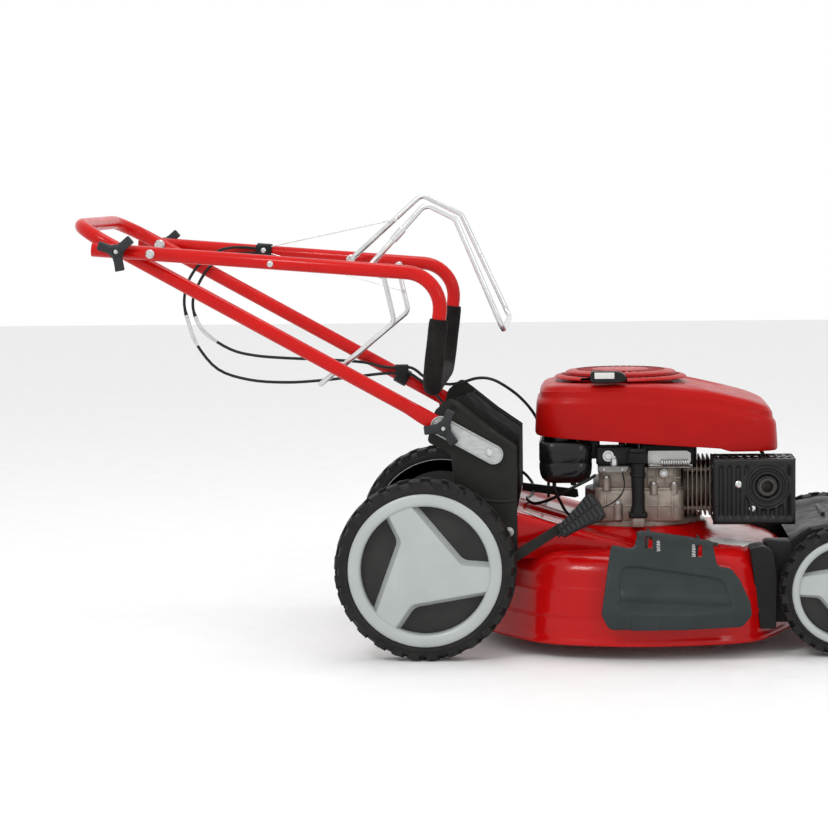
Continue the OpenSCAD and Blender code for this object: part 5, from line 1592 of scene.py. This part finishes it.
def muffler_guard():
    """Pressed guard: fluted face round the outlet, slotted roof and sides, rolled edges."""
    x0, x1, z0, z1, y_face = 442.4, 569.6, 194.4, 296.6, -153.6

    def flute(x, z):
        r = hypot(x - 526, z - 254)
        if r < 34:
            return 3.2 * min(1, (34 - r) / 3)
        fade = min(1, (r - 34) / 4)
        edge = min(1, (x - x0 - 5) / 5, (x1 - x - 5) / 5, (z - z0 - 8) / 6, (z1 - z - 8) / 6)
        return 4.2 * fade * max(0, edge) * (0.5 - 0.5 * cos((x - 448) * 2 * pi / 13.2))
    verts, faces, index = [], [], {}
    nx, nz = 76, 56
    for i in range(nx + 1):
        for j in range(nz + 1):
            x, z = x0 + (x1 - x0) * i / nx, z0 + (z1 - z0) * j / nz
            corner = 6.0
            dx = max(0, corner - min(x - x0, x1 - x))
            dz = max(0, corner - min(z - z0, z1 - z))
            roll = corner - sqrt(max(0, corner ** 2 - min(corner ** 2, dx * dx + dz * dz)))
            index[i, j] = len(verts)
            verts.append(Vector((x, y_face + roll * 0.75 + flute(x, z), z)))
    for i in range(nx):
        for j in range(nz):
            x, z = x0 + (x1 - x0) * (i + 0.5) / nx, z0 + (z1 - z0) * (j + 0.5) / nz
            if hypot(x - 526, z - 254) < 17.5:
                continue
            faces.append([index[i, j], index[i + 1, j], index[i + 1, j + 1], index[i, j + 1]])
    front = (verts, faces)
    rings = placed(join(lathe([(34, -0.6), (32, 1.6), (30, 2.2), (28, 1.2), (26.4, -1.2), (25, -1.2),
                               (23, 2.2), (20.6, 2.6), (18.4, 1.2), (17.2, -3.6), (16.4, -9)], 56)),
                   lambda v: Vector((526 + v.x, y_face + 2.9 - v.z, 254 + v.y)))
    rings = rings[0], [f for f in rings[1] if len(f) == 4]
    roof = []
    for k in range(11):
        x = x0 + 3 + 12.2 * k
        roof.append(rounded_block((x - 3, -149, 293.8), (x + 3, -70.6, 296.4), 2.6, 0.8))
    roof.append(rounded_block((x0, -150.6, 293.6), (x1, -141, 296.6), 3, 0.8))
    roof.append(rounded_block((x0, -82, 293.6), (x1, -70.4, 296.6), 3, 0.8))
    roof.append(rounded_block((x0, -116, 293.8), (x1, -110, 296.4), 3, 0.8))
    cheeks = []
    for x in (x0, x1 - 2.4):
        cheeks.append(rounded_block((x, -150.6, z0 + 2), (x + 2.4, -141, z1 - 2), 1, 0.5))
        cheeks.append(rounded_block((x, -82, z0 + 2), (x + 2.4, -70.4, z1 - 2), 1, 0.5))
        for k in range(7):
            z = z0 + 4 + 15.4 * k
            cheeks.append(rounded_block((x, -150, z), (x + 2.4, -71, z + 5.6), 1, 0.5))
    piece("silencer_guard", "frame", GUARD_BLACK, front, "muffler_guard", smooth=50,
          solidify=1.6)
    piece("silencer_guard_cage", "frame", GUARD_BLACK, join(*roof, *cheeks))
    piece("silencer_guard_rings", "frame", GUARD_BLACK, rings, smooth=50)
    studs = join(hex_bolt((482, -152.4, 257), (0, -1, 0), 4.6, 0.9, 1.4),
                 hex_bolt((503, -152.4, 219), (0, -1, 0), 4.2, 0.9, 1.4))
    studs = join(screw_head((482, -151.2, 257), (0, -1, 0), 6),
                 screw_head((503, -151.2, 219), (0, -1, 0), 5.6))
    piece("silencer_guard_screws", "frame", ZINC, studs)


muffler_guard()


# ---------- carried-over CAD nodes ----------
def dress(material, *names):
    for name in names:
        node = frame["nodes"][name]
        node.data.materials.clear()
        node.data.materials.append(material)


def dress_cad():
    kept = {"deck": DECK_RED, "front_cover": BLACK_PLASTIC, "side_plates": SHEET_BLACK,
            "rear_hood": SHEET_BLACK,
            "hinge_rods": RIM_BACK, "rear_flap": BLACK_PLASTIC, "chute_cover": COVER_GREY,
            "height_quadrant": ZINC,
            "height_lever": BLACK_PLASTIC, "rear_axle_carrier": ZINC, "front_axle_carrier": ZINC,
            "rear_wheel_disc_right": BLACK_PLASTIC, "rear_wheel_disc_left": BLACK_PLASTIC,
            "crankcase": CAST_ALUMINIUM, "cylinder_block": CAST_ALUMINIUM, "cylinder_head": CAST_ALUMINIUM,
            "spark_plug": GLOSS_BLACK, "engine_shroud": SHROUD_RED, "recoil_cap": SHROUD_RED,
            "starter_grip": BLACK_PLASTIC, "fuel_tank": GLOSS_BLACK, "oil_filler_tube": BLACK_PLASTIC,
            "oil_cap": BLACK_PLASTIC, "carburettor": CAST_ALUMINIUM, "air_filter_box": BLACK_PLASTIC,
            "control_bracket": ZINC, "muffler": MUFFLER_STEEL, "muffler_guard": GUARD_BLACK,
            "crankshaft": BLADE_STEEL, "cutting_blade": BLADE_STEEL, "gearbox": CAST_ALUMINIUM,
            "drive_pulley": BLADE_STEEL, "drive_belt": BELT}
    for name, material in kept.items():
        if not frame["nodes"][name].hide_render:
            dress(material, name)


dress_cad()


# ---------- floor and light ----------
def studio():
    mesh = bpy.data.meshes.new("floor")
    mesh.from_pydata([(-9, -9, 0), (9, -9, 0), (9, 9, 0), (-9, 9, 0)], [], [(0, 1, 2, 3)])
    floor = bpy.data.objects.new("floor", mesh)
    bpy.context.scene.collection.objects.link(floor)
    mesh.materials.append(finish("floor", (0.82, 0.82, 0.82), 0.6, vary=0.01, grain=0.01, bump=0.01))
    world = bpy.data.worlds.new("studio")
    world.use_nodes = True
    world.node_tree.nodes["Background"].inputs["Color"].default_value = (1, 1, 1, 1)
    world.node_tree.nodes["Background"].inputs["Strength"].default_value = 1.0
    bpy.context.scene.world = world
    for name, place, aim, size, power in (
            ("key", (-1.2, -2.2, 2.6), (0.1, 0, 0.3), 0.6, 26),
            ("fill", (2.2, -2.4, 1.6), (0.2, 0, 0.25), 0.7, 8),
            ("top", (0.2, 0.4, 3.0), (0.1, 0, 0.2), 1.2, 18)):
        data = bpy.data.lights.new(name, "AREA")
        data.size, data.energy = size, power
        lamp = bpy.data.objects.new(name, data)
        bpy.context.scene.collection.objects.link(lamp)
        lamp.location = place
        lamp.rotation_mode = "QUATERNION"
        lamp.rotation_quaternion = (Vector(aim) - Vector(place)).to_track_quat("-Z", "Y")
    bpy.context.scene.view_settings.view_transform = "Standard"


studio()
